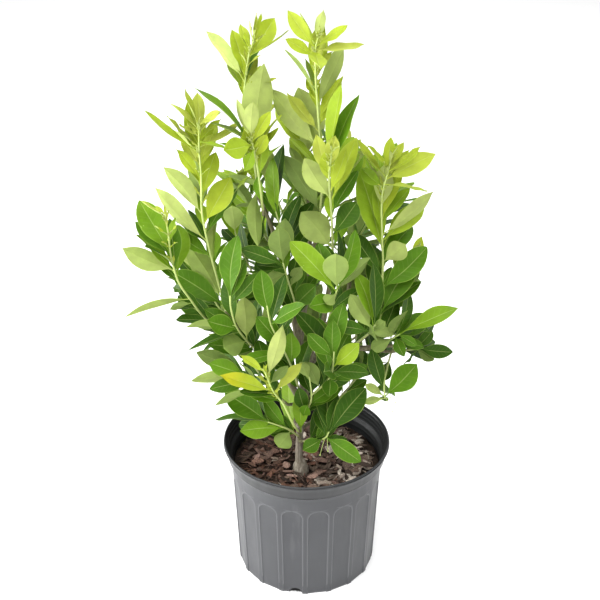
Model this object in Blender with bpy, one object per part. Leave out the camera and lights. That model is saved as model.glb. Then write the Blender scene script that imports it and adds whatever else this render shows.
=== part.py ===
# Potted anise tree: an evergreen nursery shrub in its pot, about 0.97 m tall.
# Metres, +Z up, origin at the middle of the pot's underside, the front towards -Y.
# The pot, the soil, the woody trunk and each leafy shoot are objects of their own.

import math
import random
from collections import namedtuple

import bmesh
import bpy
from mathutils import Quaternion, Vector
from mathutils.bvhtree import BVHTree

# Pot, a thin moulded nursery pot
POT_HEIGHT = 0.241
RIM_RADIUS = 0.140
RIM_BAND = 0.028
BAND_FOOT_RADIUS = 0.133
BAND_HEAD_RADIUS = 0.1375
RIM_LIP_HEIGHT = 0.0055
RIM_LIP = 0.0034
BODY_TOP_RADIUS = 0.1272
BASE_RADIUS = 0.118
POT_WALL = 0.0032
POT_FLOOR = 0.003
PANELS = 18
PANEL_TURN = math.radians(-90.8)
RIB_WIDTH = 0.009
PANEL_STEP = 0.0013
PANEL_EDGE = 0.0012
PANEL_SPRING = 0.1655
PANEL_TOP = 0.1805
PANEL_ARCH = 0.7
PANEL_PITCH = 2 * math.pi / PANELS
NOTCHES = 4
NOTCH_TURN = math.radians(-98.5)
NOTCH_RADIUS = 0.0105

# Soil and its bark mulch
FIT_GAP = 0.0004
SOIL_EDGE = 0.191
SOIL_MOUND = 0.007
SOIL_RELIEF = 0.0022
SOIL_RINGS = ((0.82, PANELS), (0.56, PANELS), (0.30, PANELS // 2))
CHIP_COUNT = 26
CHIP_LENGTH = 0.034
CHIP_WIDTH = 0.015
CHIP_THICKNESS = 0.0055

# Trunk and woody branches
TRUNK_FOOT = Vector((-0.010, -0.035, 0.1505))
TRUNK_HOLE = 0.0122
TRUNK_RADIUS = 0.0112
TRUNK_NECK_RADIUS = 0.0088
TRUNK_TOP_RADIUS = 0.0062
BRANCH_RADIUS = 0.0042
SPUR_RADIUS = 0.0024
BUTT_GAP = 0.0003
BUTT_CLEAR = 0.006

# Shoots and leaves
STEM_RADIUS = 0.0019
STEM_TIP = 0.0013
LEAF_LENGTH = 0.085
YOUNG_LENGTH = 0.062
LEAF_RATIO = 0.36
YOUNG_RATIO = 0.28
PETIOLE = 0.10
KEEL = 0.0012
STALK_HALF = 0.0010
LEAF_FOLD = 0.04
LEAF_BOW = 0.055
CLEARANCE = 0.0004
POT_KEEP_OUT = 0.004

# How the front of the plant is read: every front route and leaf is placed by where
# it is seen from this eye, in steps of a 600 x 600 picture, and by its depth in metres.
EYE = Vector((0.0, -1.663, 1.419))
LOOK_DOWN = math.radians(28.8)
LOOK_ASIDE = math.radians(-0.379)
PICTURE_FOCAL = 1200.0
PICTURE_MIDDLE = 300.0

FORWARD = Vector(
    (
        math.sin(LOOK_ASIDE) * math.cos(LOOK_DOWN),
        math.cos(LOOK_ASIDE) * math.cos(LOOK_DOWN),
        -math.sin(LOOK_DOWN),
    )
)
RIGHT = Vector((math.cos(LOOK_ASIDE), -math.sin(LOOK_ASIDE), 0.0))
UPRIGHT = RIGHT.cross(FORWARD)

# Woody branches: (picture x, picture y, depth) along each one
TRUNK_ROUTE = ((299, 455, -0.035), (300, 430, -0.034), (302, 402, -0.026), (304, 376, -0.016))
BRANCH_ROUTES = (
    ((302, 402, -0.026), (285, 376, -0.022), (262, 352, -0.020), (240, 330, -0.024), (228, 316, -0.030)),
    ((304, 376, -0.016), (297, 335, -0.006), (288, 290, 0.006), (276, 240, 0.006), (263, 206, 0.002)),
    ((304, 376, -0.016), (313, 345, -0.020), (323, 322, -0.027), (327, 300, -0.030), (332, 266, -0.030)),
    ((297, 335, -0.006), (307, 290, 0.012), (314, 250, 0.012), (319, 226, 0.006)),
    ((304, 376, -0.016), (325, 364, 0.002), (350, 348, -0.006), (370, 332, -0.020)),
    ((304, 376, -0.016), (300, 340, 0.040), (285, 300, 0.075), (270, 262, 0.095)),
    ((304, 376, -0.016), (322, 345, 0.040), (345, 305, 0.075), (352, 262, 0.095)),
    ((300, 340, 0.040), (306, 290, 0.050), (310, 235, 0.036), (308, 185, 0.024)),
)

# Front shoots. A route is (picture x, picture y, depth) from its butt to its tip. A leaf is
# (root x, root y, tip x, tip y, lean, width seen, youth): lean is from -1, towards the eye,
# to 1, away from it; the width is negative where the underside shows; youth is 0 to 1.
Shoot = namedtuple("Shoot", "name route leaves filling")

FRONT_SHOOTS = (
    Shoot(
        "spire_left",
        ((258, 193, 0.004), (254, 160, 0.008), (248, 125, 0.012), (244.5, 97, 0.014),
         (246, 75, 0.015), (249, 54, 0.015), (254, 40, 0.015)),
        (
            (245, 84, 207, 31, -0.3, -12, 0.7), (246, 80, 231, 30, 0.5, 14, 0.7),
            (244, 95, 228, 62, 0.7, 9, 0.6), (249, 58, 277, 14, -0.3, 19, 0.8),
            (250, 56, 289, 31, 0.5, 3, 0.8), (250, 50, 244, 32, 0.0, 5, 0.8),
            (253, 42, 256, 13, 0.0, 3, 1.0), (253, 42, 249, 20, 0.0, -3, 1.0),
            (254, 41, 261, 14, 0.0, 3, 1.0), (255, 172, 282, 143, 0.2, 3, 0.4),
            (255, 174, 232, 194, 0.2, 3, 0.4), (257, 190, 258, 249, -0.3, -13, 0.3),
        ),
        1,
    ),
    Shoot(
        "tuft_upper_left",
        ((263, 210, -0.022), (260, 185, -0.036), (256, 160, -0.045), (251, 138, -0.052)),
        (
            (256, 152, 264, 63, 0.0, -29, 0.6), (257, 152, 280, 67, 0.3, 10, 0.6),
            (251, 137, 236, 99, 0.3, -9, 1.0), (251, 138, 253, 101, -0.3, -14, 0.9),
            (253, 142, 271, 111, -0.3, 12, 0.9), (252, 144, 223, 150, -0.5, 20, 0.6),
            (255, 157, 244, 131, -0.7, 15, 0.8), (256, 157, 267, 134, -0.5, 12, 0.8),
            (253, 148, 196, 86, -0.2, 4, 0.4), (252, 145, 211, 122, 0.3, 3, 0.5),
            (257, 156, 278, 113, 0.5, 3, 0.6), (258, 160, 280, 128, -0.2, 5, 0.6),
            (254, 150, 245, 171, -0.5, 12, 0.5),
        ),
        1,
    ),
    Shoot(
        "spire_right",
        ((320, 216, 0.004), (322, 182, -0.004), (321, 150, -0.010), (318.5, 120, -0.015),
         (317, 99, -0.018), (315.4, 76, -0.020), (315.4, 50, -0.020), (318, 37, -0.020)),
        (
            (314.5, 48, 288, 11, -0.2, 14, 0.8), (314.5, 44, 301, 13, 0.5, 3, 0.8),
            (314.5, 57, 285, 39, -0.6, 10, 0.7), (317, 42, 323, 9, 0.2, -9, 1.0),
            (318, 46, 348, 25, -0.3, 8, 0.9), (317, 50, 364, 44, 0.3, 9, 0.9),
            (317, 108, 346, 45, -0.2, -18, 0.6), (316, 52, 320, 70, -1.0, 13, 0.7),
            (315, 97, 284, 50, 0.4, -5, 0.5), (316, 106, 306, 57, -0.1, 11, 0.4),
            (320, 158, 298, 87, -0.2, -27, 0.6), (319, 150, 272, 90, -0.5, -19, 0.8),
            (319, 132, 286, 93, -0.8, 10, 1.0), (322, 172, 290, 137, -0.7, 7, 0.6),
            (320, 212, 284, 156, -0.3, -12, 0.3),
        ),
        1,
    ),
    Shoot(
        "spire_far_left",
        ((226, 311, -0.030), (219, 285, -0.032), (212, 260, -0.032), (207, 240, -0.032),
         (202, 213, -0.030), (201, 176, -0.030), (199, 150, -0.030), (199, 122, -0.030)),
        (
            (199, 133, 197, 89, 0.3, 13, 1.0), (198, 152, 145, 112, -0.2, 12, 0.8),
            (198, 148, 166, 117, 0.4, 4, 0.8), (198, 150, 168, 127, 0.8, -8, 0.8),
            (199, 124, 224, 109, -0.4, 8, 1.0), (199, 137, 179, 124, 0.0, 4, 1.0),
            (199, 133, 187, 123, 0.0, 3, 1.0), (199, 124, 184, 89, 0.4, 3, 1.0),
            (200, 160, 214, 133, -0.2, 10, 0.9), (199, 166, 180, 131, 0.1, 12, 0.9),
            (202, 198, 216, 152, -0.3, 17, 0.7), (200, 178, 178, 150, -0.5, 11, 0.8),
            (201, 148, 241, 124, 0.3, 5, 0.8), (200, 142, 226, 149, -0.4, 5, 0.6),
            (202, 215, 164, 167, -0.4, -16, 0.7), (207, 242, 155, 187, -0.2, -17, 0.8),
            (202, 210, 191, 143, -0.4, -18, 0.5), (204, 224, 231, 177, -0.4, 23, 0.7),
            (201, 200, 208, 152, 0.2, 12, 0.6), (200, 188, 176, 149, 0.3, 9, 0.7),
            (210, 253, 190, 212, 0.7, 9, 0.2), (213, 266, 216, 210, -0.5, -9, 0.6),
            (208, 247, 169, 211, 0.5, 12, 0.2), (223, 300, 186, 242, -0.5, -22, 0.6),
            (225, 309, 171, 271, -0.2, 19, 0.2),
        ),
        1,
    ),
    Shoot(
        "shoot_left",
        ((226, 331, -0.045), (205, 318, -0.058), (190, 299, -0.066), (178, 281, -0.072),
         (171, 256, -0.078), (168.5, 236, -0.080), (165, 214, -0.080)),
        (
            (170, 254, 139, 200, -0.3, 23, 0.4), (175, 272, 122, 248, -0.2, -20, 0.7),
            (165, 216, 141, 200, 0.4, 3, 0.9), (165, 215, 155, 206, 0.0, 4, 1.0),
            (173, 268, 178, 231, 0.6, -10, 0.3), (190, 299, 125, 317, -0.2, -9, 0.6),
            (193, 303, 169, 309, -0.4, -6, 0.5), (184, 290, 173, 287, 0.6, 8, 0.1),
        ),
        1,
    ),
    Shoot(
        "tuft_left",
        ((262, 355, -0.036), (247, 341, -0.066), (236, 326, -0.092), (231, 309, -0.108), (230, 296, -0.116)),
        (
            (231, 303, 236, 235, -0.3, 20, 0.3), (238, 330, 208, 321, -0.6, 20, 0.2),
            (236, 327, 187, 325, 0.3, -10, 0.5), (240, 333, 189, 350, -0.1, 7, 0.2),
            (247, 340, 223, 348, -0.7, -22, 0.4), (236, 325, 226, 279, 0.4, 16, 0.2),
            (248, 341, 243, 296, -0.5, -20, 0.6), (256, 350, 243, 321, -0.6, 11, 0.1),
        ),
        2,
    ),
    Shoot(
        "tuft_inner_left",
        ((270, 305, 0.010), (252, 272, -0.004), (240, 248, -0.012), (235, 232, -0.018)),
        (
            (235, 234, 232, 206, -0.8, -18, 0.4), (240, 250, 222, 228, 0.5, 12, 0.0),
            (250, 270, 239, 222, 0.4, 13, 0.0), (246, 262, 262, 222, 0.6, 14, 0.0),
        ),
        2,
    ),
    Shoot(
        "tuft_centre",
        ((300, 392, -0.036), (292, 368, -0.068), (281, 345, -0.098), (271, 325, -0.120), (267, 306, -0.130)),
        (
            (268, 318, 261, 270, -0.3, 20, 0.3), (272, 325, 285, 275, 0.2, 15, 0.1),
            (280, 345, 257, 317, -0.7, 19, 0.3), (286, 355, 264, 306, 0.2, -10, 0.5),
            (292, 366, 291, 333, -0.6, 16, 0.3), (290, 364, 288, 327, 0.5, 12, 0.1),
        ),
        2,
    ),
    Shoot(
        "shoot_lime",
        ((298, 431, -0.052), (293, 424, -0.078), (283, 404, -0.108), (273, 391, -0.124), (265, 372, -0.134)),
        (
            (268, 378, 284, 323, 0.0, -15, 1.0), (265, 373, 240, 355, -0.2, 8, 1.0),
            (273, 391, 220, 375, -0.3, 14, 0.9), (275, 391, 302, 363, -0.1, 12, 1.0),
            (270, 384, 288, 366, 0.4, -10, 0.4),
        ),
        0,
    ),
    Shoot(
        "tuft_low_far_left",
        ((285, 402, -0.045), (269, 391, -0.066), (253, 381, -0.080), (243, 373, -0.086)),
        (
            (246, 376, 209, 363, -0.3, 17, 0.3), (245, 375, 197, 351, 0.2, -15, 0.2),
            (251, 380, 191, 380, 0.1, -8, 0.5), (253, 381, 209, 389, -0.3, 14, 0.3),
            (264, 388, 215, 405, -0.1, -5, 0.6), (248, 377, 222, 352, 0.5, 12, 0.0),
        ),
        1,
    ),
    Shoot(
        "tuft_low_left",
        ((298, 436, -0.048), (290, 430, -0.060), (280, 426, -0.068), (268, 422, -0.072)),
        (
            (270, 422, 225, 392, 0.1, 23, 0.1), (269, 422, 212, 418, -0.2, 7, 0.1),
            (284, 427, 240, 431, -0.4, 18, 0.4), (291, 430, 278, 447, -0.5, -17, 0.5),
            (288, 429, 262, 397, 0.0, 13, 0.3), (294, 433, 288, 371, -0.1, 18, 0.5),
        ),
        0,
    ),
    Shoot(
        "sprout_low_right",
        ((303, 441, -0.047), (313, 442, -0.060), (325, 438, -0.072), (329, 432, -0.074)),
        (
            (328, 434, 366, 388, -0.1, 23, 0.1), (323, 439, 303, 450, -0.3, 14, 0.2),
            (326, 437, 361, 462, -0.4, 18, 0.3), (309, 441, 321, 400, -0.1, 13, 0.2),
            (326, 436, 316, 411, 0.5, 11, 0.0),
        ),
        0,
    ),
    Shoot(
        "tuft_trunk",
        ((302, 418, -0.044), (309, 406, -0.056), (311.5, 396, -0.063), (309.5, 377, -0.068)),
        (
            (309.5, 378, 300, 362, -0.2, -11, 0.5), (311, 396, 301, 366, 0.4, 13, 0.0),
            (309, 404, 321, 378, 0.4, 13, 0.1), (305, 412, 297, 383, 0.2, 13, 0.1),
            (311, 392, 320, 360, 0.2, 12, 0.0), (303, 416, 312, 392, -0.2, 12, 0.2),
        ),
        0,
    ),
    Shoot(
        "tuft_centre_right",
        ((310, 396, -0.036), (320, 388, -0.064), (330, 378, -0.094), (333, 366, -0.116), (334, 352, -0.128)),
        (
            (333, 358, 343, 302, -0.1, 18, 0.3), (333, 362, 333, 320, -0.6, 15, 0.2),
            (334, 364, 350, 332, 0.3, 14, 0.2), (334, 367, 359, 344, -0.5, 16, 0.5),
            (333, 357, 308, 334, -0.4, 15, 0.1), (330, 378, 329, 396, -0.7, 15, 0.0),
            (332, 372, 369, 373, -0.1, 14, 0.1), (332, 360, 296, 310, 0.2, 18, 0.2),
            (320, 388, 305, 362, -0.4, -14, 0.3),
        ),
        1,
    ),
    Shoot(
        "tuft_inner_middle",
        ((299, 324, -0.018), (295, 303, -0.036), (288, 280, -0.056), (283, 263, -0.066)),
        (
            (283, 265, 241, 249, -0.2, 16, 0.0), (283, 264, 279, 227, -0.5, -22, 0.3),
            (283, 263, 285, 219, 0.4, -20, 0.1), (284, 268, 256, 265, 0.4, 10, 0.1),
            (286, 274, 267, 281, -0.4, -13, 0.2), (289, 283, 297, 257, 0.6, 13, 0.0),
            (291, 287, 301, 267, -0.3, -12, 0.3), (296, 305, 316, 285, -0.5, 20, 0.3),
        ),
        1,
    ),
    Shoot(
        "tuft_mid_right",
        ((328, 322, -0.044), (332, 306, -0.080), (337, 290, -0.108)),
        (
            (336, 291, 290, 241, -0.1, 22, 0.3), (337, 290, 336, 254, -0.6, -23, 0.5),
            (336, 293, 326, 303, -0.6, -12, 0.3), (337, 291, 371, 255, 0.1, -12, 0.4),
            (337, 290, 356, 229, 0.5, 16, 0.3), (337, 292, 338, 231, 0.8, 9, 0.0),
        ),
        1,
    ),
    Shoot(
        "tuft_upper_middle",
        ((292, 272, -0.008), (286, 250, -0.013), (280, 226, -0.018), (276, 212, -0.020)),
        (
            (277, 215, 283, 143, 0.0, 15, 0.1), (278, 222, 271, 158, -0.5, 14, 0.4),
            (284, 244, 300, 196, 0.4, 14, 0.0), (280, 228, 253, 190, 0.5, 14, 0.1),
            (286, 252, 310, 200, 0.7, 12, 0.0),
        ),
        2,
    ),
    Shoot(
        "shoot_middle",
        ((333, 257, -0.032), (331.5, 214, -0.052), (329, 184, -0.070), (330, 165, -0.080), (332, 150, -0.086)),
        (
            (331, 167, 344, 84, 0.2, 9, 0.6), (332, 170, 359, 94, 0.3, 18, 0.3),
            (331, 168, 336, 133, -0.4, 13, 0.9), (330, 203, 356, 137, -0.3, 15, 0.9),
            (330, 178, 316, 134, -0.2, 14, 0.9), (331, 184, 327, 150, -0.7, 13, 0.8),
            (331, 192, 346, 148, 0.0, 12, 0.8),
            (331, 206, 360, 150, 0.6, 5, 0.5), (331, 213, 358, 171, 0.5, 16, 0.1),
            (332, 236, 357, 202, 0.4, 21, 0.0), (332, 250, 301, 212, -0.5, -27, 0.5),
            (330, 166, 325, 122, 0.8, 9, 0.1), (329, 198, 304, 158, -0.4, -20, 0.8),
        ),
        1,
    ),
    Shoot(
        "tuft_right",
        ((346, 351, -0.032), (358, 342, -0.066), (370, 332, -0.096), (375, 325, -0.108)),
        (
            (372, 330, 350, 294, -0.3, -18, 0.6), (372, 331, 385, 321, -0.5, -10, 0.4),
            (371, 332, 336, 326, -0.3, 14, 0.2), (374, 328, 357, 271, 0.3, 15, 0.3),
            (375, 327, 373, 263, 0.7, 14, 0.0), (366, 336, 361, 303, 0.6, 14, 0.0),
        ),
        1,
    ),
    Shoot(
        "spire_far_right",
        ((379, 323, -0.016), (381, 300, -0.010), (383, 265, -0.002), (382, 235, 0.004),
         (381.5, 207, 0.008), (383, 190, 0.010), (388, 172, 0.010), (391, 158, 0.010)),
        (
            (382, 314, 417, 257, -0.3, 25, 0.3), (383, 288, 427, 247, 0.3, 24, 0.1),
            (381, 316, 423, 280, 0.5, 12, 0.0), (383, 262, 405, 244, -0.7, -20, 0.7),
            (382, 242, 431, 201, -0.1, 19, 0.6), (382, 236, 434, 192, 0.3, -13, 0.8),
            (383, 250, 414, 199, 0.6, 3, 0.5), (382, 222, 402, 165, 0.1, 15, 0.7),
            (382, 209, 384, 165, -0.6, -19, 0.8), (382, 252, 358, 172, -0.1, 22, 0.6),
            (382, 238, 375, 186, -0.7, 13, 0.7), (388, 172, 391, 137, -0.2, 12, 0.8),
            (386, 178, 357, 138, -0.1, 7, 0.8), (390, 166, 404, 142, 0.2, 8, 1.0),
            (389, 172, 421, 147, -0.1, 9, 0.8), (386, 180, 434, 151, -0.2, 19, 0.8),
            (388, 176, 397, 147, -0.4, 9, 1.0), (388, 178, 411, 148, -0.3, 10, 0.9),
            (385, 184, 427, 192, -0.4, 5, 0.7), (384, 188, 361, 168, 0.6, 13, 0.4),
            (383, 280, 352, 232, 0.8, 16, 0.1),
        ),
        2,
    ),
    Shoot(
        "shoot_right_low",
        ((376, 346, -0.016), (388, 341, -0.026), (400, 334, -0.032)),
        (
            (400, 333, 458, 306, -0.1, 17, 0.3), (398, 334, 420, 319, 0.6, 8, 0.0),
            (399, 335, 417, 346, -0.2, 9, 0.2), (396, 337, 404, 356, -0.5, 11, 0.2),
            (398, 335, 374, 331, -0.6, -10, 0.4), (394, 338, 371, 349, -0.6, -13, 0.3),
        ),
        1,
    ),
    Shoot(
        "twig_right",
        ((396, 351, 0.020), (408, 350, 0.016), (418, 349, 0.012)),
        (
            (418, 349, 453, 352, -0.4, 14, 0.1), (416, 350, 434, 360, -0.2, -10, 0.1),
            (417, 349, 404, 364, 0.2, 3, 0.1), (414, 350, 432, 331, 0.4, 12, 0.1),
        ),
        1,
    ),
    Shoot(
        "tuft_low_right",
        ((391, 353, -0.010), (387, 368, -0.026), (384, 384, -0.036), (385, 398, -0.040)),
        (
            (385, 397, 417, 364, -0.2, 23, 0.3), (384, 390, 371, 349, -0.4, 13, 0.1),
            (385, 396, 365, 384, -0.2, -8, 0.6), (385, 398, 363, 403, -0.2, -8, 0.6),
        ),
        1,
    ),
)

# The outline of the leafage as the front view shows it; what grows by rule stays inside it
OUTLINE = (
    (207, 30), (231, 29), (256, 13), (278, 14), (262, 50), (250, 62), (265, 64), (280, 67),
    (283, 95), (298, 87), (306, 57), (286, 38), (288, 11), (323, 9), (364, 44), (344, 84),
    (359, 94), (352, 132), (378, 150), (391, 137), (434, 151), (412, 178), (434, 193),
    (420, 225), (427, 247), (422, 285), (408, 310), (458, 306), (432, 330), (453, 352),
    (417, 366), (408, 388), (384, 404), (366, 398), (345, 420), (361, 462), (325, 440),
    (278, 447), (240, 431), (212, 418), (226, 395), (191, 380), (197, 352), (212, 338),
    (187, 325), (150, 310), (172, 290), (122, 248), (139, 200), (164, 167), (176, 149),
    (145, 112), (184, 89), (226, 109), (243, 100), (232, 75),
)

# Openings in the leafage where the front view shows light: (x, y, half width, half height)
OPENINGS = (
    (276, 140, 8, 16), (286, 187, 5, 10), (234, 163, 9, 8), (220, 158, 6, 13), (270, 182, 4, 9),
    (398, 360, 12, 7), (370, 388, 3, 8), (352, 192, 4, 8), (232, 128, 8, 12), (340, 112, 5, 10),
)

# Shoots that grow by rule, at the back and inside: tiers of (height of the tips, reach,
# number, first azimuth, turn between shoots); 90 degrees points straight away from the eye
BackTier = namedtuple("BackTier", "height reach count first turn")

BACK_TIERS = (
    BackTier(0.400, 0.150, 3, 30.0, 58.0),
    BackTier(0.530, 0.185, 4, 14.0, 50.0),
    BackTier(0.650, 0.160, 3, 42.0, 46.0),
    BackTier(0.745, 0.095, 3, 50.0, 42.0),
)
BACK_MIDDLE = Vector((0.0, 0.005))
BACK_LEAVES = 8
GOLDEN_TURN = math.radians(137.5)

Leaf = namedtuple("Leaf", "root way up length width bow fold youth")


def clear_scene():
    """Remove whatever the file opened with."""
    for thing in list(bpy.data.objects):
        bpy.data.objects.remove(thing, do_unlink=True)


def material(name, colour, roughness, metallic=0.0):
    """A plain Principled material."""
    made = bpy.data.materials.new(name)
    made.use_nodes = True
    shader = made.node_tree.nodes["Principled BSDF"]
    shader.inputs["Base Color"].default_value = (*colour, 1.0)
    shader.inputs["Roughness"].default_value = roughness
    shader.inputs["Metallic"].default_value = metallic
    return made


def add_object(name, points, faces, finish=None):
    """A mesh object with its faces turned outwards."""
    mesh = bpy.data.meshes.new(name)
    mesh.from_pydata([tuple(point) for point in points], [], faces)
    work = bmesh.new()
    work.from_mesh(mesh)
    bmesh.ops.recalc_face_normals(work, faces=work.faces)
    work.to_mesh(mesh)
    work.free()
    made = bpy.data.objects.new(name, mesh)
    bpy.context.scene.collection.objects.link(made)
    if finish:
        mesh.materials.append(finish)
    return made


def closed_and_whole(mesh):
    """True where the mesh is one closed body."""
    work = bmesh.new()
    work.from_mesh(mesh)
    closed = bool(work.faces) and all(len(edge.link_faces) == 2 for edge in work.edges)
    seen = set()
    if closed:
        waiting = [work.faces[:][0]]
        seen.add(waiting[0])
        while waiting:
            face = waiting.pop()
            for edge in face.edges:
                for other in edge.link_faces:
                    if other not in seen:
                        seen.add(other)
                        waiting.append(other)
    whole = closed and len(seen) == len(work.faces)
    work.free()
    return whole


def fuse(body, additions, operation="UNION"):
    """Join additions to the body, or cut them from it, as one applied Boolean."""
    if not additions:
        return body
    group = bpy.data.collections.new(body.name + "_additions")
    bpy.context.scene.collection.children.link(group)
    for addition in additions:
        bpy.context.scene.collection.objects.unlink(addition)
        group.objects.link(addition)
    modifier = body.modifiers.new("join", "BOOLEAN")
    modifier.operation = operation
    modifier.operand_type = "COLLECTION"
    modifier.collection = group
    for solver in ("EXACT", "MANIFOLD"):
        modifier.solver = solver
        graph = bpy.context.evaluated_depsgraph_get()
        graph.update()
        joined = bpy.data.meshes.new_from_object(body.evaluated_get(graph))
        if closed_and_whole(joined):
            break
    body.modifiers.remove(modifier)
    body.data = joined
    for addition in list(group.objects):
        bpy.data.objects.remove(addition, do_unlink=True)
    bpy.data.collections.remove(group)
    return body


# Sight lines

def place(across, down, depth):
    """The point seen at that place in the picture whose world y is the depth."""
    ray = sight(across, down)
    return EYE + ray * ((depth - EYE.y) / ray.y)


def sight(across, down):
    """The direction from the eye through that place in the picture."""
    sideways = RIGHT * ((across - PICTURE_MIDDLE) / PICTURE_FOCAL)
    upwards = UPRIGHT * ((PICTURE_MIDDLE - down) / PICTURE_FOCAL)
    return FORWARD + sideways + upwards


def seen_at(point):
    """Where the point is seen in the picture."""
    away = point - EYE
    far = away.dot(FORWARD)
    across = PICTURE_MIDDLE + PICTURE_FOCAL * away.dot(RIGHT) / far
    down = PICTURE_MIDDLE - PICTURE_FOCAL * away.dot(UPRIGHT) / far
    return Vector((across, down))


def inside_outline(point):
    """True where the point is seen inside the leafage's outline."""
    spot = seen_at(point)
    inside = False
    for index, corner in enumerate(OUTLINE):
        last = OUTLINE[index - 1]
        if (corner[1] > spot.y) != (last[1] > spot.y):
            share = (spot.y - corner[1]) / (last[1] - corner[1])
            if spot.x < corner[0] + share * (last[0] - corner[0]):
                inside = not inside
    for x, y, wide, high in OPENINGS:
        if math.hypot((spot.x - x) / wide, (spot.y - y) / high) < 1.0:
            return False
    return inside


# Routes and tubes

def smooth_route(points, steps):
    """Points along a smooth curve through the given ones, steps to each span."""
    points = [Vector(point) for point in points]
    ends = [2 * points[0] - points[1]] + points + [2 * points[-1] - points[-2]]
    route = []
    for index in range(1, len(ends) - 2):
        before, start, stop, after = ends[index - 1 : index + 3]
        for step in range(steps):
            t = step / steps
            bend = 2 * before - 5 * start + 4 * stop - after
            twist = 3 * (start - stop) + after - before
            route.append(start + ((stop - before) * t + bend * t * t + twist * t**3) / 2)
    route.append(points[-1])
    return route


def divided(route, steps):
    """The same straight spans, each cut into so many."""
    points = []
    for start, stop in zip(route, route[1:]):
        points += [start.lerp(stop, step / steps) for step in range(steps)]
    return points + [route[-1]]


def heading(route, index):
    """The route's direction at one of its points."""
    before = route[max(index - 1, 0)]
    after = route[min(index + 1, len(route) - 1)]
    return (after - before).normalized()


def tube(route, radii, sides):
    """Points and faces of a tube with flat ends along the route."""
    points = []
    faces = []
    ring_x = heading(route, 0).orthogonal().normalized()
    for index, middle in enumerate(route):
        along = heading(route, index)
        ring_x = (ring_x - along * ring_x.dot(along)).normalized()
        ring_y = along.cross(ring_x)
        for side in range(sides):
            angle = 2 * math.pi * side / sides
            outwards = ring_x * math.cos(angle) + ring_y * math.sin(angle)
            points.append(middle + outwards * radii[index])
    for index in range(len(route) - 1):
        for side in range(sides):
            near = index * sides + side
            beside = index * sides + (side + 1) % sides
            faces.append((near, beside, beside + sides, near + sides))
    faces.append(tuple(reversed(range(sides))))
    faces.append(tuple(range(len(points) - sides, len(points))))
    return points, faces


def taper(route, start, stop):
    """Radii that run evenly from start to stop along the route."""
    last = len(route) - 1
    return [start + (stop - start) * index / last for index in range(len(route))]


# Leaves

def outline_share(t):
    """How wide the leaf is at t along it, as a share of its full width."""
    if t <= PETIOLE:
        return 0.07
    blade = (t - PETIOLE) / (1.0 - PETIOLE)
    return max(0.07 * (1.0 - blade), math.sin(math.pi * blade**1.04) ** 0.68)


def leaf_spine(leaf, t):
    """The middle of the leaf at t, and the direction its upper face has there."""
    rise = leaf.bow * leaf.length * 4 * t * (1 - t)
    middle = leaf.root + leaf.way * (leaf.length * t) + leaf.up * rise
    facing = (leaf.up - leaf.way * (leaf.bow * 4 * (1 - 2 * t))).normalized()
    return middle, facing


def leaf_edge(leaf, t, grow=0.0):
    """The two edges of the leaf at t."""
    middle, facing = leaf_spine(leaf, t)
    half = leaf.width / 2 * outline_share(t) + grow
    sideways = leaf.way.cross(leaf.up) * half
    raised = facing * (half * leaf.fold)
    return middle - sideways + raised, middle + sideways + raised


def leaf_solid(leaf, stations):
    """A thin closed blade on a straight stalk, flat above and keeled along its midrib."""
    side = leaf.way.cross(leaf.up) * STALK_HALF
    keel = leaf.up * STALK_HALF * 1.5
    points = [leaf.root - side, leaf.root + side, leaf.root - keel]
    stalk_end = leaf_spine(leaf, PETIOLE)[0]
    points += [stalk_end - side, stalk_end + side, stalk_end - keel]
    for t in stations:
        middle, facing = leaf_spine(leaf, t)
        left, right = leaf_edge(leaf, t)
        points += [left, right, middle - facing * KEEL]
    points.append(leaf_spine(leaf, 1.0)[0])
    faces = [(2, 1, 0)]
    for ring in range(len(stations) + 1):
        for corner in range(3):
            near = ring * 3 + corner
            beside = ring * 3 + (corner + 1) % 3
            if ring == 0:
                faces.append((near, beside, beside + 3, near + 3))
            else:
                faces.append((near, beside, beside + 3))
                faces.append((near, beside + 3, near + 3))
    last = len(points) - 4
    for corner in range(3):
        faces.append((last + corner, last + (corner + 1) % 3, last + 3))
    return points, faces


def leaf_envelope(leaf, start):
    """A search tree of the space the leaf takes up, from start along it to its tip."""
    points = []
    faces = []
    stations = [start + (1.0 - start) * share for share in (0.0, 0.15, 0.3, 0.46, 0.63, 0.82, 1.0)]
    for t in stations:
        middle, facing = leaf_spine(leaf, t)
        left, right = leaf_edge(leaf, t, CLEARANCE)
        thick = facing * (KEEL + CLEARANCE)
        thin = facing * (KEEL * 0.4 + CLEARANCE)
        points += [left - thin, left + thin, middle + thick, right + thin, right - thin, middle - thick]
    for ring in range(len(stations) - 1):
        for side in range(6):
            near = ring * 6 + side
            beside = ring * 6 + (side + 1) % 6
            faces.append((near, beside, beside + 6, near + 6))
    return BVHTree.FromPolygons(points, faces)


def botanical_up(way, axis):
    """The way a leaf's upper face looks when it grows along way from a stem along axis."""
    up = axis - way * axis.dot(way)
    if up.length < 0.15:
        up = Vector((0, 0, 1)) - way * way.z
    if up.length < 0.05:
        up = way.orthogonal()
    return up.normalized()


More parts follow.
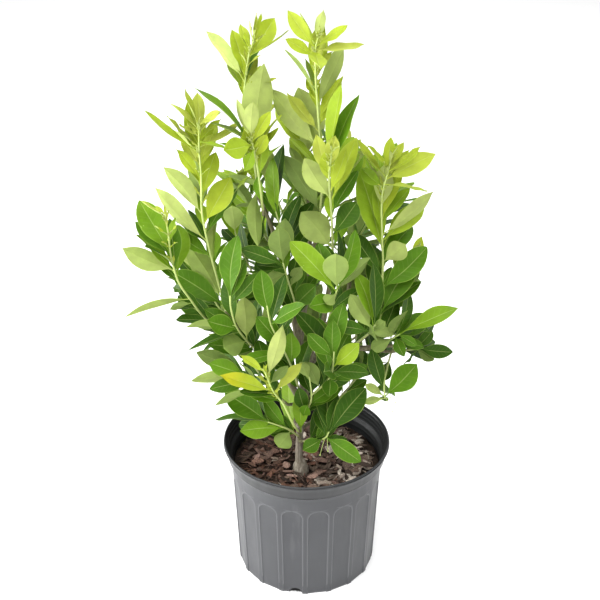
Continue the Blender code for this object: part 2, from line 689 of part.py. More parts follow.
def read_leaf(row, route):
    """A leaf as the front view shows it."""
    root_x, root_y, tip_x, tip_y, lean, seen, youth = row
    spot = Vector((root_x, root_y))
    clear = [index for index, point in enumerate(route) if (point - route[0]).length > BUTT_CLEAR]
    nearest = min(clear, key=lambda index: (seen_at(route[index]) - spot).length)
    root = route[nearest]
    far = (root - EYE).dot(FORWARD)
    ray = sight(tip_x, tip_y)
    flat_tip = EYE + ray * far
    flat = (flat_tip - root).length
    full = LEAF_LENGTH + (YOUNG_LENGTH - LEAF_LENGTH) * youth
    tilt = lean * math.acos(min(1.0, flat / full))
    tip = flat_tip + ray.normalized() * (flat * math.tan(tilt))
    way = (tip - root).normalized()
    length = (tip - root).length
    seen_width = abs(seen) * far / PICTURE_FOCAL
    width = max(length * (LEAF_RATIO + (YOUNG_RATIO - LEAF_RATIO) * youth), seen_width)
    toward = EYE - (root + tip) / 2
    facing = (toward - way * toward.dot(way)).normalized()
    beside = way.cross(facing)
    growing = botanical_up(way, heading(route, nearest))
    roll = math.acos(min(1.0, seen_width / width))
    turned = beside if beside.dot(growing) >= 0 else -beside
    up = facing * math.copysign(math.cos(roll), seen) + turned * math.sin(roll)
    bow = LEAF_BOW if youth < 0.75 else -0.4 * LEAF_BOW
    return Leaf(root, way, up.normalized(), length, width, bow, LEAF_FOLD, youth)


def rule_leaf(route, share, turn, opening, length, youth, chance):
    """A leaf that leaves the stem at share of its length, turned about it."""
    index = min(int(share * (len(route) - 1)), len(route) - 1)
    axis = heading(route, index)
    across = axis.orthogonal().normalized()
    across = Quaternion(axis, turn) @ across
    way = (axis * math.cos(opening) + across * math.sin(opening)).normalized()
    way = (way + Vector((0, 0, 0.10))).normalized()
    up = botanical_up(way, axis)
    up = Quaternion(way, chance.uniform(-0.35, 0.35)) @ up
    width = length * (LEAF_RATIO + (YOUNG_RATIO - LEAF_RATIO) * youth)
    bow = LEAF_BOW * chance.uniform(0.6, 1.5)
    return Leaf(route[index], way, up, length, width, bow, LEAF_FOLD, youth)


def turned_leaf(leaf, swing, direction, roll):
    """The leaf swung about its root and rolled about its length."""
    hinge = leaf.way.cross((leaf.root - EYE).normalized())
    if hinge.length < 0.1:
        hinge = leaf.way.orthogonal()
    hinge = Quaternion(leaf.way, direction) @ hinge.normalized()
    spin = Quaternion(hinge, swing)
    way = spin @ leaf.way
    up = Quaternion(way, roll) @ (spin @ leaf.up)
    return leaf._replace(way=way, up=up)


SWINGS = tuple(math.radians(angle) for angle in (5, 10, 16, 23, 31, 40, 50))
DIRECTIONS = tuple(math.radians(angle) for angle in (0, 180, 45, 135, 225, 315, 90, 270))
ROLLS = tuple(math.radians(angle) for angle in (0, 20, -20))
SHORTENINGS = (1.0, 0.86, 0.72)


class Crowd:
    """What is already in place, and whether a new leaf keeps clear of it."""

    def __init__(self):
        self.leaves = []
        self.stems = []
        self.shown = None

    def add_stem(self, owner, route, radii, sides):
        grown = [radius + CLEARANCE for radius in radii]
        tree = BVHTree.FromPolygons(*tube(route, grown, sides))
        self.stems.append((owner, tree))

    def add_leaf(self, owner, leaf):
        middle = leaf.root + leaf.way * (leaf.length / 2)
        row = (owner, middle, leaf.length * 0.56, leaf_envelope(leaf, 0.05), leaf_envelope(leaf, 0.3))
        self.leaves.append(row)

    def clear(self, owner, leaf):
        if not clear_of_pot(leaf):
            return False
        middle = leaf.root + leaf.way * (leaf.length / 2)
        reach = leaf.length * 0.56
        whole = leaf_envelope(leaf, 0.05)
        outer = leaf_envelope(leaf, 0.3)
        for other, tree in self.stems:
            if (outer if other == owner else whole).overlap(tree):
                return False
        for other, place_of, reach_of, whole_of, outer_of in self.leaves:
            if (middle - place_of).length > reach + reach_of:
                continue
            if other == owner:
                if outer.overlap(outer_of):
                    return False
            elif whole.overlap(whole_of):
                return False
        return True

    def show(self, leaves):
        """Keep what the front view shows of these leaves free from now on."""
        points = []
        faces = []
        for leaf in leaves:
            start = len(points)
            for t in (0.16, 0.36, 0.58, 0.8, 0.97):
                points += leaf_edge(leaf, t)
            faces += [(start + row, start + row + 1, start + row + 3, start + row + 2) for row in (0, 2, 4, 6)]
        self.shown = BVHTree.FromPolygons(points, faces)

    def hides(self, leaf):
        """True where the leaf would stand before one that the front view shows."""
        for t in (0.2, 0.45, 0.7, 1.0):
            for point in (*leaf_edge(leaf, t), leaf_spine(leaf, t)[0]):
                if self.shown.ray_cast(point, (point - EYE).normalized())[0]:
                    return True
        return False

    def settle(self, owner, leaf, keep_inside):
        """The leaf as it finds room, or None."""
        for shorter in SHORTENINGS:
            trial = leaf._replace(length=leaf.length * shorter, width=leaf.width * shorter)
            for candidate in candidates(trial):
                if keep_inside and (not stays_inside(candidate) or self.hides(candidate)):
                    continue
                if self.clear(owner, candidate):
                    self.add_leaf(owner, candidate)
                    return candidate
        return None


def turn_cost(turn):
    """How much a turn shows from the front: swings in depth show least."""
    swing, direction, roll = turn
    shown = math.sin(swing) * (3.0 * abs(math.sin(direction)) + abs(math.cos(direction)))
    return shown + (0.15 if roll else 0.0)


def candidates(leaf):
    """The leaf as it is, then turned more and more from there."""
    turns = [(swing, direction, roll) for swing in SWINGS for direction in DIRECTIONS for roll in ROLLS]
    turns += [(0.0, 0.0, roll) for roll in ROLLS]
    for swing, direction, roll in sorted(turns, key=turn_cost):
        yield turned_leaf(leaf, swing, direction, roll)


def stays_inside(leaf):
    """True where the leaf is seen inside the leafage's outline."""
    points = [leaf_spine(leaf, 1.0)[0], *leaf_edge(leaf, 0.35), *leaf_edge(leaf, 0.6), *leaf_edge(leaf, 0.85)]
    return all(inside_outline(point) for point in points)


def clear_of_pot(leaf):
    """True where the leaf stays off the rim and above the soil."""
    for t in (0.12, 0.3, 0.5, 0.7, 0.85, 1.0):
        for point in (*leaf_edge(leaf, t), leaf_spine(leaf, t)[0]):
            out = math.hypot(point.x, point.y)
            low = point.z < POT_HEIGHT + POT_KEEP_OUT
            if low and out > BODY_TOP_RADIUS - POT_WALL - POT_KEEP_OUT:
                return False
            if point.z < SOIL_EDGE + SOIL_MOUND + CHIP_THICKNESS:
                return False
    return True


# Pot

def body_radius(height):
    """The pot body's outer radius at a height."""
    share = height / (POT_HEIGHT - RIM_BAND)
    return BASE_RADIUS + (BODY_TOP_RADIUS - BASE_RADIUS) * share


def panel_ring(height, half_angle, step):
    """One ring of the body: each panel has two rib edges and, inside them, its own two."""
    radius = body_radius(height)
    edge = PANEL_EDGE / radius
    ring = []
    for panel in range(PANELS):
        centre = PANEL_TURN + PANEL_PITCH * (panel + 0.5)
        for angle, out in (
            (-half_angle, radius),
            (edge - half_angle, radius - step),
            (half_angle - edge, radius - step),
            (half_angle, radius),
        ):
            ring.append(around(centre + angle, out, height))
    return ring


def plain_ring(radius, height, count):
    """One plain ring of so many points."""
    turn = PANEL_TURN + math.pi / count
    return [around(turn + 2 * math.pi * index / count, radius, height) for index in range(count)]


def around(angle, radius, height):
    """A point at an angle about the pot's axis."""
    return Vector((radius * math.cos(angle), radius * math.sin(angle), height))


def turned_body(rings):
    """Points and faces of a closed body through rings, each with a point count that is
    the last one's or half of it, and a flat fan on the first and the last."""
    points = []
    faces = []
    starts = []
    for ring in rings:
        starts.append(len(points))
        points += ring
    for index in range(len(rings) - 1):
        low, high = starts[index], starts[index + 1]
        count, above = len(rings[index]), len(rings[index + 1])
        fold = count // above
        for side in range(count):
            beside = (side + 1) % count
            up = high + side // fold
            up_beside = high + (beside // fold)
            faces.append((low + side, low + beside, up_beside))
            if up != up_beside:
                faces.append((low + side, up_beside, up))
    for ring, start in ((rings[0], starts[0]), (rings[-1], starts[-1])):
        points.append(Vector((0, 0, ring[0].z)))
        for side in range(len(ring)):
            faces.append((start + side, start + (side + 1) % len(ring), len(points) - 1))
    return points, faces


def make_pot(finish):
    """The pot: recessed arched panels, a rim band, and notches at its foot."""
    full = (PANEL_PITCH - RIB_WIDTH / BODY_TOP_RADIUS) / 2
    under = POT_HEIGHT - RIM_BAND
    head = POT_HEIGHT - RIM_LIP_HEIGHT
    arch = PANEL_SPRING + (PANEL_TOP - PANEL_SPRING) * PANEL_ARCH
    rings = [
        panel_ring(0.0, full, PANEL_STEP),
        panel_ring(PANEL_SPRING, full, PANEL_STEP),
        panel_ring(arch, full * math.sqrt(1 - PANEL_ARCH * PANEL_ARCH), PANEL_STEP),
        panel_ring(PANEL_TOP, full * 0.14, 0.0),
        plain_ring(body_radius(under - 0.003), under - 0.003, PANELS * 2),
        plain_ring(BAND_FOOT_RADIUS, under, PANELS * 2),
        plain_ring(BAND_HEAD_RADIUS, head, PANELS * 2),
        plain_ring(RIM_RADIUS, head + 0.002, PANELS * 2),
        plain_ring(RIM_RADIUS, POT_HEIGHT, PANELS * 2),
        plain_ring(RIM_RADIUS - RIM_LIP, POT_HEIGHT, PANELS * 2),
        plain_ring(BAND_HEAD_RADIUS - POT_WALL, head, PANELS * 2),
        plain_ring(BAND_FOOT_RADIUS - POT_WALL, under + 0.001, PANELS * 2),
        plain_ring(body_radius(under) - POT_WALL, under - 0.0035, PANELS * 2),
        plain_ring(body_radius(POT_FLOOR) - POT_WALL, POT_FLOOR, PANELS * 2),
    ]
    pot = add_object("pot", *turned_body(rings), finish)
    cutters = []
    for notch in range(NOTCHES):
        angle = NOTCH_TURN + 2 * math.pi * notch / NOTCHES
        route = [around(angle, BASE_RADIUS - 0.014, 0.0), around(angle, BASE_RADIUS + 0.012, 0.0)]
        cutters.append(add_object("notch", *tube(route, [NOTCH_RADIUS] * 2, 10)))
    fuse(pot, cutters, "DIFFERENCE")
    pot.data.shade_smooth()
    pot.data.set_sharp_from_angle(angle=math.radians(35))
    return pot


# Soil

def soil_height(x, y):
    """The height of the soil's surface."""
    out = math.hypot(x, y) / BODY_TOP_RADIUS
    ripple = math.sin(x * 165.0 + 0.8) * math.cos(y * 140.0 - 0.4) + 0.5 * math.sin((x + y) * 260.0)
    return SOIL_EDGE + SOIL_MOUND * (1 - out * out) + SOIL_RELIEF * ripple


def bark_chip(middle, turn, tilt, length, width, thickness, chance):
    """An irregular flat chip of bark."""
    points = []
    for level in (-0.5, 0.5):
        for corner_x, corner_y in ((-1, -1), (1, -1), (1, 1), (-1, 1)):
            x = corner_x * length / 2 * chance.uniform(0.7, 1.0)
            y = corner_y * width / 2 * chance.uniform(0.55, 1.0)
            points.append(Vector((x, y, level * thickness)))
    spin = Quaternion((0, 0, 1), turn) @ Quaternion((1, 0, 0), tilt[0]) @ Quaternion((0, 1, 0), tilt[1])
    points = [middle + spin @ point for point in points]
    faces = [(3, 2, 1, 0), (4, 5, 6, 7), (0, 1, 5, 4), (1, 2, 6, 5), (2, 3, 7, 6), (3, 0, 4, 7)]
    return points, faces


def make_soil(finish):
    """The root ball, its surface covered in bark chips, with a hole for the trunk."""
    top_radius = body_radius(SOIL_EDGE) - POT_WALL - FIT_GAP
    floor = POT_FLOOR + FIT_GAP
    floor_radius = body_radius(floor) - POT_WALL - FIT_GAP
    rings = [plain_ring(floor_radius, floor, PANELS * 2), plain_ring(top_radius, SOIL_EDGE, PANELS * 2)]
    for share, count in SOIL_RINGS:
        ring = plain_ring(top_radius * share, 0.0, count)
        for point in ring:
            point.z = soil_height(point.x, point.y)
        rings.append(ring)
    soil = add_object("soil", *turned_body(rings), finish)
    chance = random.Random(11)
    chips = []
    trunk = Vector((TRUNK_FOOT.x, TRUNK_FOOT.y))
    for index in range(CHIP_COUNT):
        reach = (top_radius - 0.018) * math.sqrt((index + 0.5) / CHIP_COUNT)
        angle = index * GOLDEN_TURN
        spot = Vector((reach * math.cos(angle), reach * math.sin(angle)))
        length = CHIP_LENGTH * chance.uniform(0.65, 1.1)
        width = CHIP_WIDTH * chance.uniform(0.7, 1.3)
        turn = chance.uniform(0, math.pi)
        tilt = (chance.uniform(-0.3, 0.3), chance.uniform(-0.22, 0.22))
        lift = chance.uniform(-0.0014, 0.0010)
        if (spot - trunk).length < TRUNK_HOLE + length / 2 + 0.002:
            continue
        middle = Vector((spot.x, spot.y, soil_height(spot.x, spot.y) + lift))
        chip = bark_chip(middle, turn, tilt, length, width, CHIP_THICKNESS, chance)
        chips.append(add_object("chip", *chip))
    fuse(soil, chips)
    hole = [TRUNK_FOOT - Vector((0, 0, FIT_GAP)), TRUNK_FOOT + Vector((0, 0, 0.08))]
    cutter = add_object("hole", *tube(hole, [TRUNK_HOLE] * 2, 12))
    fuse(soil, [cutter], "DIFFERENCE")
    return soil


# Plant

def wood_routes():
    """The trunk and its branches as (route, radii)."""
    ground = TRUNK_FOOT + Vector((0, 0, 0.052))
    rise = [place(*spot) for spot in TRUNK_ROUTE]
    trunk = [TRUNK_FOOT, ground] + smooth_route([ground + Vector((0, 0, 0.012))] + rise, 1)
    girths = [TRUNK_RADIUS, TRUNK_RADIUS, TRUNK_NECK_RADIUS] + [TRUNK_TOP_RADIUS] * (len(trunk) - 3)
    wood = [(trunk, girths)]
    for spots in BRANCH_ROUTES:
        route = smooth_route([place(*spot) for spot in spots], 1)
        wood.append((route, taper(route, BRANCH_RADIUS * 1.35, BRANCH_RADIUS * 0.72)))
    return wood


def back_routes():
    """Routes of the shoots that grow by rule."""
    routes = []
    chance = random.Random(5)
    for tier in BACK_TIERS:
        for index in range(tier.count):
            azimuth = math.radians(tier.first + tier.turn * index)
            reach = tier.reach * chance.uniform(0.9, 1.05)
            out = Vector((math.cos(azimuth), math.sin(azimuth), 0.0))
            middle = Vector((BACK_MIDDLE.x, BACK_MIDDLE.y, 0.0))
            tip = middle + out * reach + Vector((0, 0, tier.height + chance.uniform(-0.02, 0.02)))
            start = middle + out * (reach * 0.42) + Vector((0, 0, tip.z - 0.115))
            elbow = middle + out * (reach * 0.80) + Vector((0, 0, tip.z - 0.062))
            routes.append(smooth_route([start, elbow, tip], 2))
    return routes


def wood_spurs(wood, routes):
    """A spur from the nearest wood to each shoot's butt, ending flat in front of it."""
    spurs = []
    for route in routes:
        butt = route[0]
        along = heading(route, 0)
        spots = [spot for branch, _ in wood for spot in branch[2:]]
        nearest = min(spots, key=lambda spot: (spot - butt).length + 0.6 * max(0.0, spot.z - butt.z))
        gap = (nearest - butt).length
        if gap < 0.0015:
            nearest = butt - along * 0.004
        lead = butt - along * min(0.012, gap * 0.4)
        spur = [nearest, lead, butt]
        spurs.append((spur, taper(spur, SPUR_RADIUS * 1.25, SPUR_RADIUS)))
    return spurs


def make_trunk(wood, spurs, finish):
    """The trunk, its branches and its spurs as one body."""
    trunk = add_object("trunk", *tube(*wood[0], 8), finish)
    parts = [add_object("branch", *tube(route, radii, 5)) for route, radii in wood[1:]]
    parts += [add_object("spur", *tube(route, radii, 4)) for route, radii in spurs]
    return fuse(trunk, parts)


def stem_of(route):
    """The green stem's route and radii, clear of the wood behind it."""
    stem = list(route)
    stem[0] = stem[0] + heading(route, 0) * BUTT_GAP
    return stem, taper(stem, STEM_RADIUS, STEM_TIP)


def layout():
    """Every shoot as (name, coarse stem route, leaves), with the wood and its spurs."""
    wood = wood_routes()
    routes = {shoot.name: [place(*spot) for spot in shoot.route] for shoot in FRONT_SHOOTS}
    for index, route in enumerate(back_routes()):
        routes[f"shoot_back_{index + 1:02d}"] = route
    fine = {name: divided(route, 10) for name, route in routes.items()}
    spurs = wood_spurs(wood, list(routes.values()))
    crowd = Crowd()
    for route, radii in wood + spurs:
        crowd.add_stem("trunk", route, radii, 6)
    for name, route in routes.items():
        crowd.add_stem(name, *stem_of(route), 4)
    leaves = {name: [] for name in routes}
    seen = [(shoot.name, read_leaf(row, fine[shoot.name])) for shoot in FRONT_SHOOTS for row in shoot.leaves]
    seen.sort(key=lambda item: (item[1].root - EYE).dot(FORWARD))
    for name, leaf in seen:
        settled = crowd.settle(name, leaf, False)
        if settled:
            leaves[name].append(settled)
    crowd.show([leaf for grown in leaves.values() for leaf in grown])
    chance = random.Random(23)
    for shoot in FRONT_SHOOTS:
        for count in range(shoot.filling):
            share = 0.25 + 0.7 * (count + 0.5) / shoot.filling
            turn = count * GOLDEN_TURN + chance.uniform(-0.3, 0.3)
            opening = math.radians(chance.uniform(28, 55))
            length = LEAF_LENGTH * chance.uniform(0.75, 1.0)
            leaf = rule_leaf(fine[shoot.name], share, turn, opening, length, 0.2, chance)
            if leaf.way.dot(FORWARD) < 0.1:
                leaf = rule_leaf(fine[shoot.name], share, turn + math.pi, opening, length, 0.2, chance)
            settled = crowd.settle(shoot.name, leaf, True)
            if settled:
                leaves[shoot.name].append(settled)
    for index, name in enumerate(list(routes)[len(FRONT_SHOOTS) :]):
        for count in range(BACK_LEAVES):
            share = 0.18 + 0.82 * (count / (BACK_LEAVES - 1)) ** 0.8
            opening = math.radians(64 - 38 * share + chance.uniform(-8, 8))
            length = LEAF_LENGTH * chance.uniform(0.8, 1.12) * (1.08 - 0.25 * share)
            youth = max(0.0, share - 0.45) * chance.uniform(0.4, 1.4)
            youth = min(1.0, youth + 0.5 * max(0.0, (routes[name][-1].z - 0.55) / 0.2))
            turn = count * GOLDEN_TURN + index
            leaf = rule_leaf(fine[name], share, turn, opening, length, youth, chance)
            settled = crowd.settle(name, leaf, True)
            if settled:
                leaves[name].append(settled)
    return wood, spurs, routes, leaves


LARGE_LEAF = 0.083
LARGE_STATIONS = (0.32, 0.59, 0.85)
SMALL_STATIONS = (0.38, 0.76)


def make_shoot(name, route, leaves, finish):
    """A green stem with its leaves fused to it."""
    stem, radii = stem_of(route)
    body = add_object(name, *tube(stem, radii, 4), finish)
    blades = []
    for leaf in leaves:
        stations = LARGE_STATIONS if leaf.length > LARGE_LEAF else SMALL_STATIONS
        blades.append(add_object("leaf", *leaf_solid(leaf, stations)))
    return fuse(body, blades)


def main():
    clear_scene()
    pot_finish = material("pot_plastic", (0.155, 0.160, 0.170), 0.42)
    soil_finish = material("bark_mulch", (0.115, 0.070, 0.050), 0.90)
    wood_finish = material("woody_bark", (0.200, 0.165, 0.120), 0.85)
    young_finish = material("young_leaf", (0.400, 0.560, 0.075), 0.45)
    mature_finish = material("mature_leaf", (0.120, 0.260, 0.035), 0.40)
    make_pot(pot_finish)
    make_soil(soil_finish)
    wood, spurs, routes, leaves = layout()
    make_trunk(wood, spurs, wood_finish)
    for name, route in routes.items():
        youths = [leaf.youth for leaf in leaves[name]]
        young = sum(youths) > 0.5 * max(len(youths), 1)
        make_shoot(name, route, leaves[name], young_finish if young else mature_finish)


main()
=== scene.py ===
# Potted anise tree: the dressed model. The solids come in as the frame; the fine pot, mulch,
# bark and leaves made here stand where the solids are, from the same named values.

import math
import random
from collections import namedtuple
from itertools import product

import bmesh
import bpy
import numpy as np
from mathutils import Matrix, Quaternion, Vector
from mathutils.bvhtree import BVHTree


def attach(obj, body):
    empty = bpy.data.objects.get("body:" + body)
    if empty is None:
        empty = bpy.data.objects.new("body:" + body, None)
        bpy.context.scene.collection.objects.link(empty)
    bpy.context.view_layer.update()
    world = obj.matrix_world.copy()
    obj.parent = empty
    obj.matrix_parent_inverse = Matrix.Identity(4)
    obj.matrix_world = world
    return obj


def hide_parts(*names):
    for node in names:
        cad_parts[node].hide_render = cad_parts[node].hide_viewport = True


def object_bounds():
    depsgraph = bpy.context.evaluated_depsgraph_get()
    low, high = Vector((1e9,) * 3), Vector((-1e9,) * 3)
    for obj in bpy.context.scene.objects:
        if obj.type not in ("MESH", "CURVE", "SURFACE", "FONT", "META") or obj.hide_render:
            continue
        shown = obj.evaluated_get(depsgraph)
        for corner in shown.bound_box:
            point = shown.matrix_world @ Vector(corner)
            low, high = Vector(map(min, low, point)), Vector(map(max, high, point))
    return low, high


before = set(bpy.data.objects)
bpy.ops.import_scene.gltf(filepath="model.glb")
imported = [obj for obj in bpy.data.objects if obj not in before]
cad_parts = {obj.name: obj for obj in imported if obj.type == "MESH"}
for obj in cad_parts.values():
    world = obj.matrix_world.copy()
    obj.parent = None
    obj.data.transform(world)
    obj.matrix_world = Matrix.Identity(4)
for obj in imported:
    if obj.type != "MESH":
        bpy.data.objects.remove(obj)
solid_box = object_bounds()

# Pot, a thin moulded nursery pot
POT_HEIGHT = 0.241
RIM_BAND = 0.028
BODY_TOP_RADIUS = 0.1272
BASE_RADIUS = 0.118
POT_WALL = 0.0032
POT_FLOOR = 0.003
PANELS = 18
PANEL_TURN = math.radians(-90.8)
RIB_WIDTH = 0.009
PANEL_STEP = 0.0013
PANEL_EDGE = 0.0012
PANEL_SPRING = 0.1655
PANEL_TOP = 0.1805
PANEL_PITCH = 2 * math.pi / PANELS
NOTCHES = 4
NOTCH_TURN = math.radians(-98.5)
NOTCH_RADIUS = 0.0105
NOTCH_REACH = (-0.014, 0.012)

# Soil and its bark mulch
FIT_GAP = 0.0004
SOIL_EDGE = 0.191
SOIL_MOUND = 0.007
SOIL_RELIEF = 0.0022
CHIP_THICKNESS = 0.0055

# Trunk and woody branches
TRUNK_FOOT = Vector((-0.010, -0.035, 0.1505))
TRUNK_SUNK = 0.052
TRUNK_NECK = 0.012
TRUNK_RADIUS = 0.0112
TRUNK_NECK_RADIUS = 0.0088
TRUNK_TOP_RADIUS = 0.0062
BRANCH_RADIUS = 0.0042
SPUR_RADIUS = 0.0024
SPUR_LEAST = 0.0015
SPUR_STUB = 0.004
SPUR_LEAD = 0.012
DROP_COST = 0.6
BUTT_GAP = 0.0003
BUTT_CLEAR = 0.006

# Shoots and leaves
STEM_RADIUS = 0.0019
STEM_TIP = 0.0013
FINE_STEPS = 10
LEAF_LENGTH = 0.085
YOUNG_LENGTH = 0.062
LEAF_RATIO = 0.36
YOUNG_RATIO = 0.28
PETIOLE = 0.10
KEEL = 0.0012
STALK_HALF = 0.0010
STALK_SHARE = 0.07
LEAF_FOLD = 0.04
LEAF_BOW = 0.055
CLEARANCE = 0.0004
POT_KEEP_OUT = 0.004

# One seed for each run of chance
BACK_SEED = 5
LEAF_SEED = 23
FILL_SEED = 71
MULCH_SEED = 37

# How the front of the plant is read: every front route and leaf is placed by where
# it is seen from this eye, in steps of a 600 x 600 picture, and by its depth in metres.
EYE = Vector((0.0, -1.663, 1.419))
LOOK_DOWN = math.radians(28.8)
LOOK_ASIDE = math.radians(-0.379)
PICTURE_FOCAL = 1200.0
PICTURE_MIDDLE = 300.0

LEVEL_SHARE = math.cos(LOOK_DOWN)
FORWARD = Vector(
    (math.sin(LOOK_ASIDE) * LEVEL_SHARE, math.cos(LOOK_ASIDE) * LEVEL_SHARE, -math.sin(LOOK_DOWN))
)
RIGHT = Vector((math.cos(LOOK_ASIDE), -math.sin(LOOK_ASIDE), 0.0))
UPRIGHT = RIGHT.cross(FORWARD)

# Woody branches: (picture x, picture y, depth) along each one
TRUNK_ROUTE = ((299, 455, -0.035), (300, 430, -0.034), (302, 402, -0.026), (304, 376, -0.016))
BRANCH_ROUTES = (
    ((302, 402, -0.026), (285, 376, -0.022), (262, 352, -0.020), (240, 330, -0.024), (228, 316, -0.030)),
    ((304, 376, -0.016), (297, 335, -0.006), (288, 290, 0.006), (276, 240, 0.006), (263, 206, 0.002)),
    ((304, 376, -0.016), (313, 345, -0.020), (323, 322, -0.027), (327, 300, -0.030), (332, 266, -0.030)),
    ((297, 335, -0.006), (307, 290, 0.012), (314, 250, 0.012), (319, 226, 0.006)),
    ((304, 376, -0.016), (325, 364, 0.002), (350, 348, -0.006), (370, 332, -0.020)),
    ((304, 376, -0.016), (300, 340, 0.040), (285, 300, 0.075), (270, 262, 0.095)),
    ((304, 376, -0.016), (322, 345, 0.040), (345, 305, 0.075), (352, 262, 0.095)),
    ((300, 340, 0.040), (306, 290, 0.050), (310, 235, 0.036), (308, 185, 0.024)),
)

# Front shoots. A route is (picture x, picture y, depth) from its butt to its tip. A leaf is
# (root x, root y, tip x, tip y, lean, width seen, youth): lean is from -1, towards the eye,
# to 1, away from it; the width is negative where the underside shows; youth is 0 to 1. The
# filling is the number of leaves that are added by rule.
Shoot = namedtuple("Shoot", "name filling route leaves")

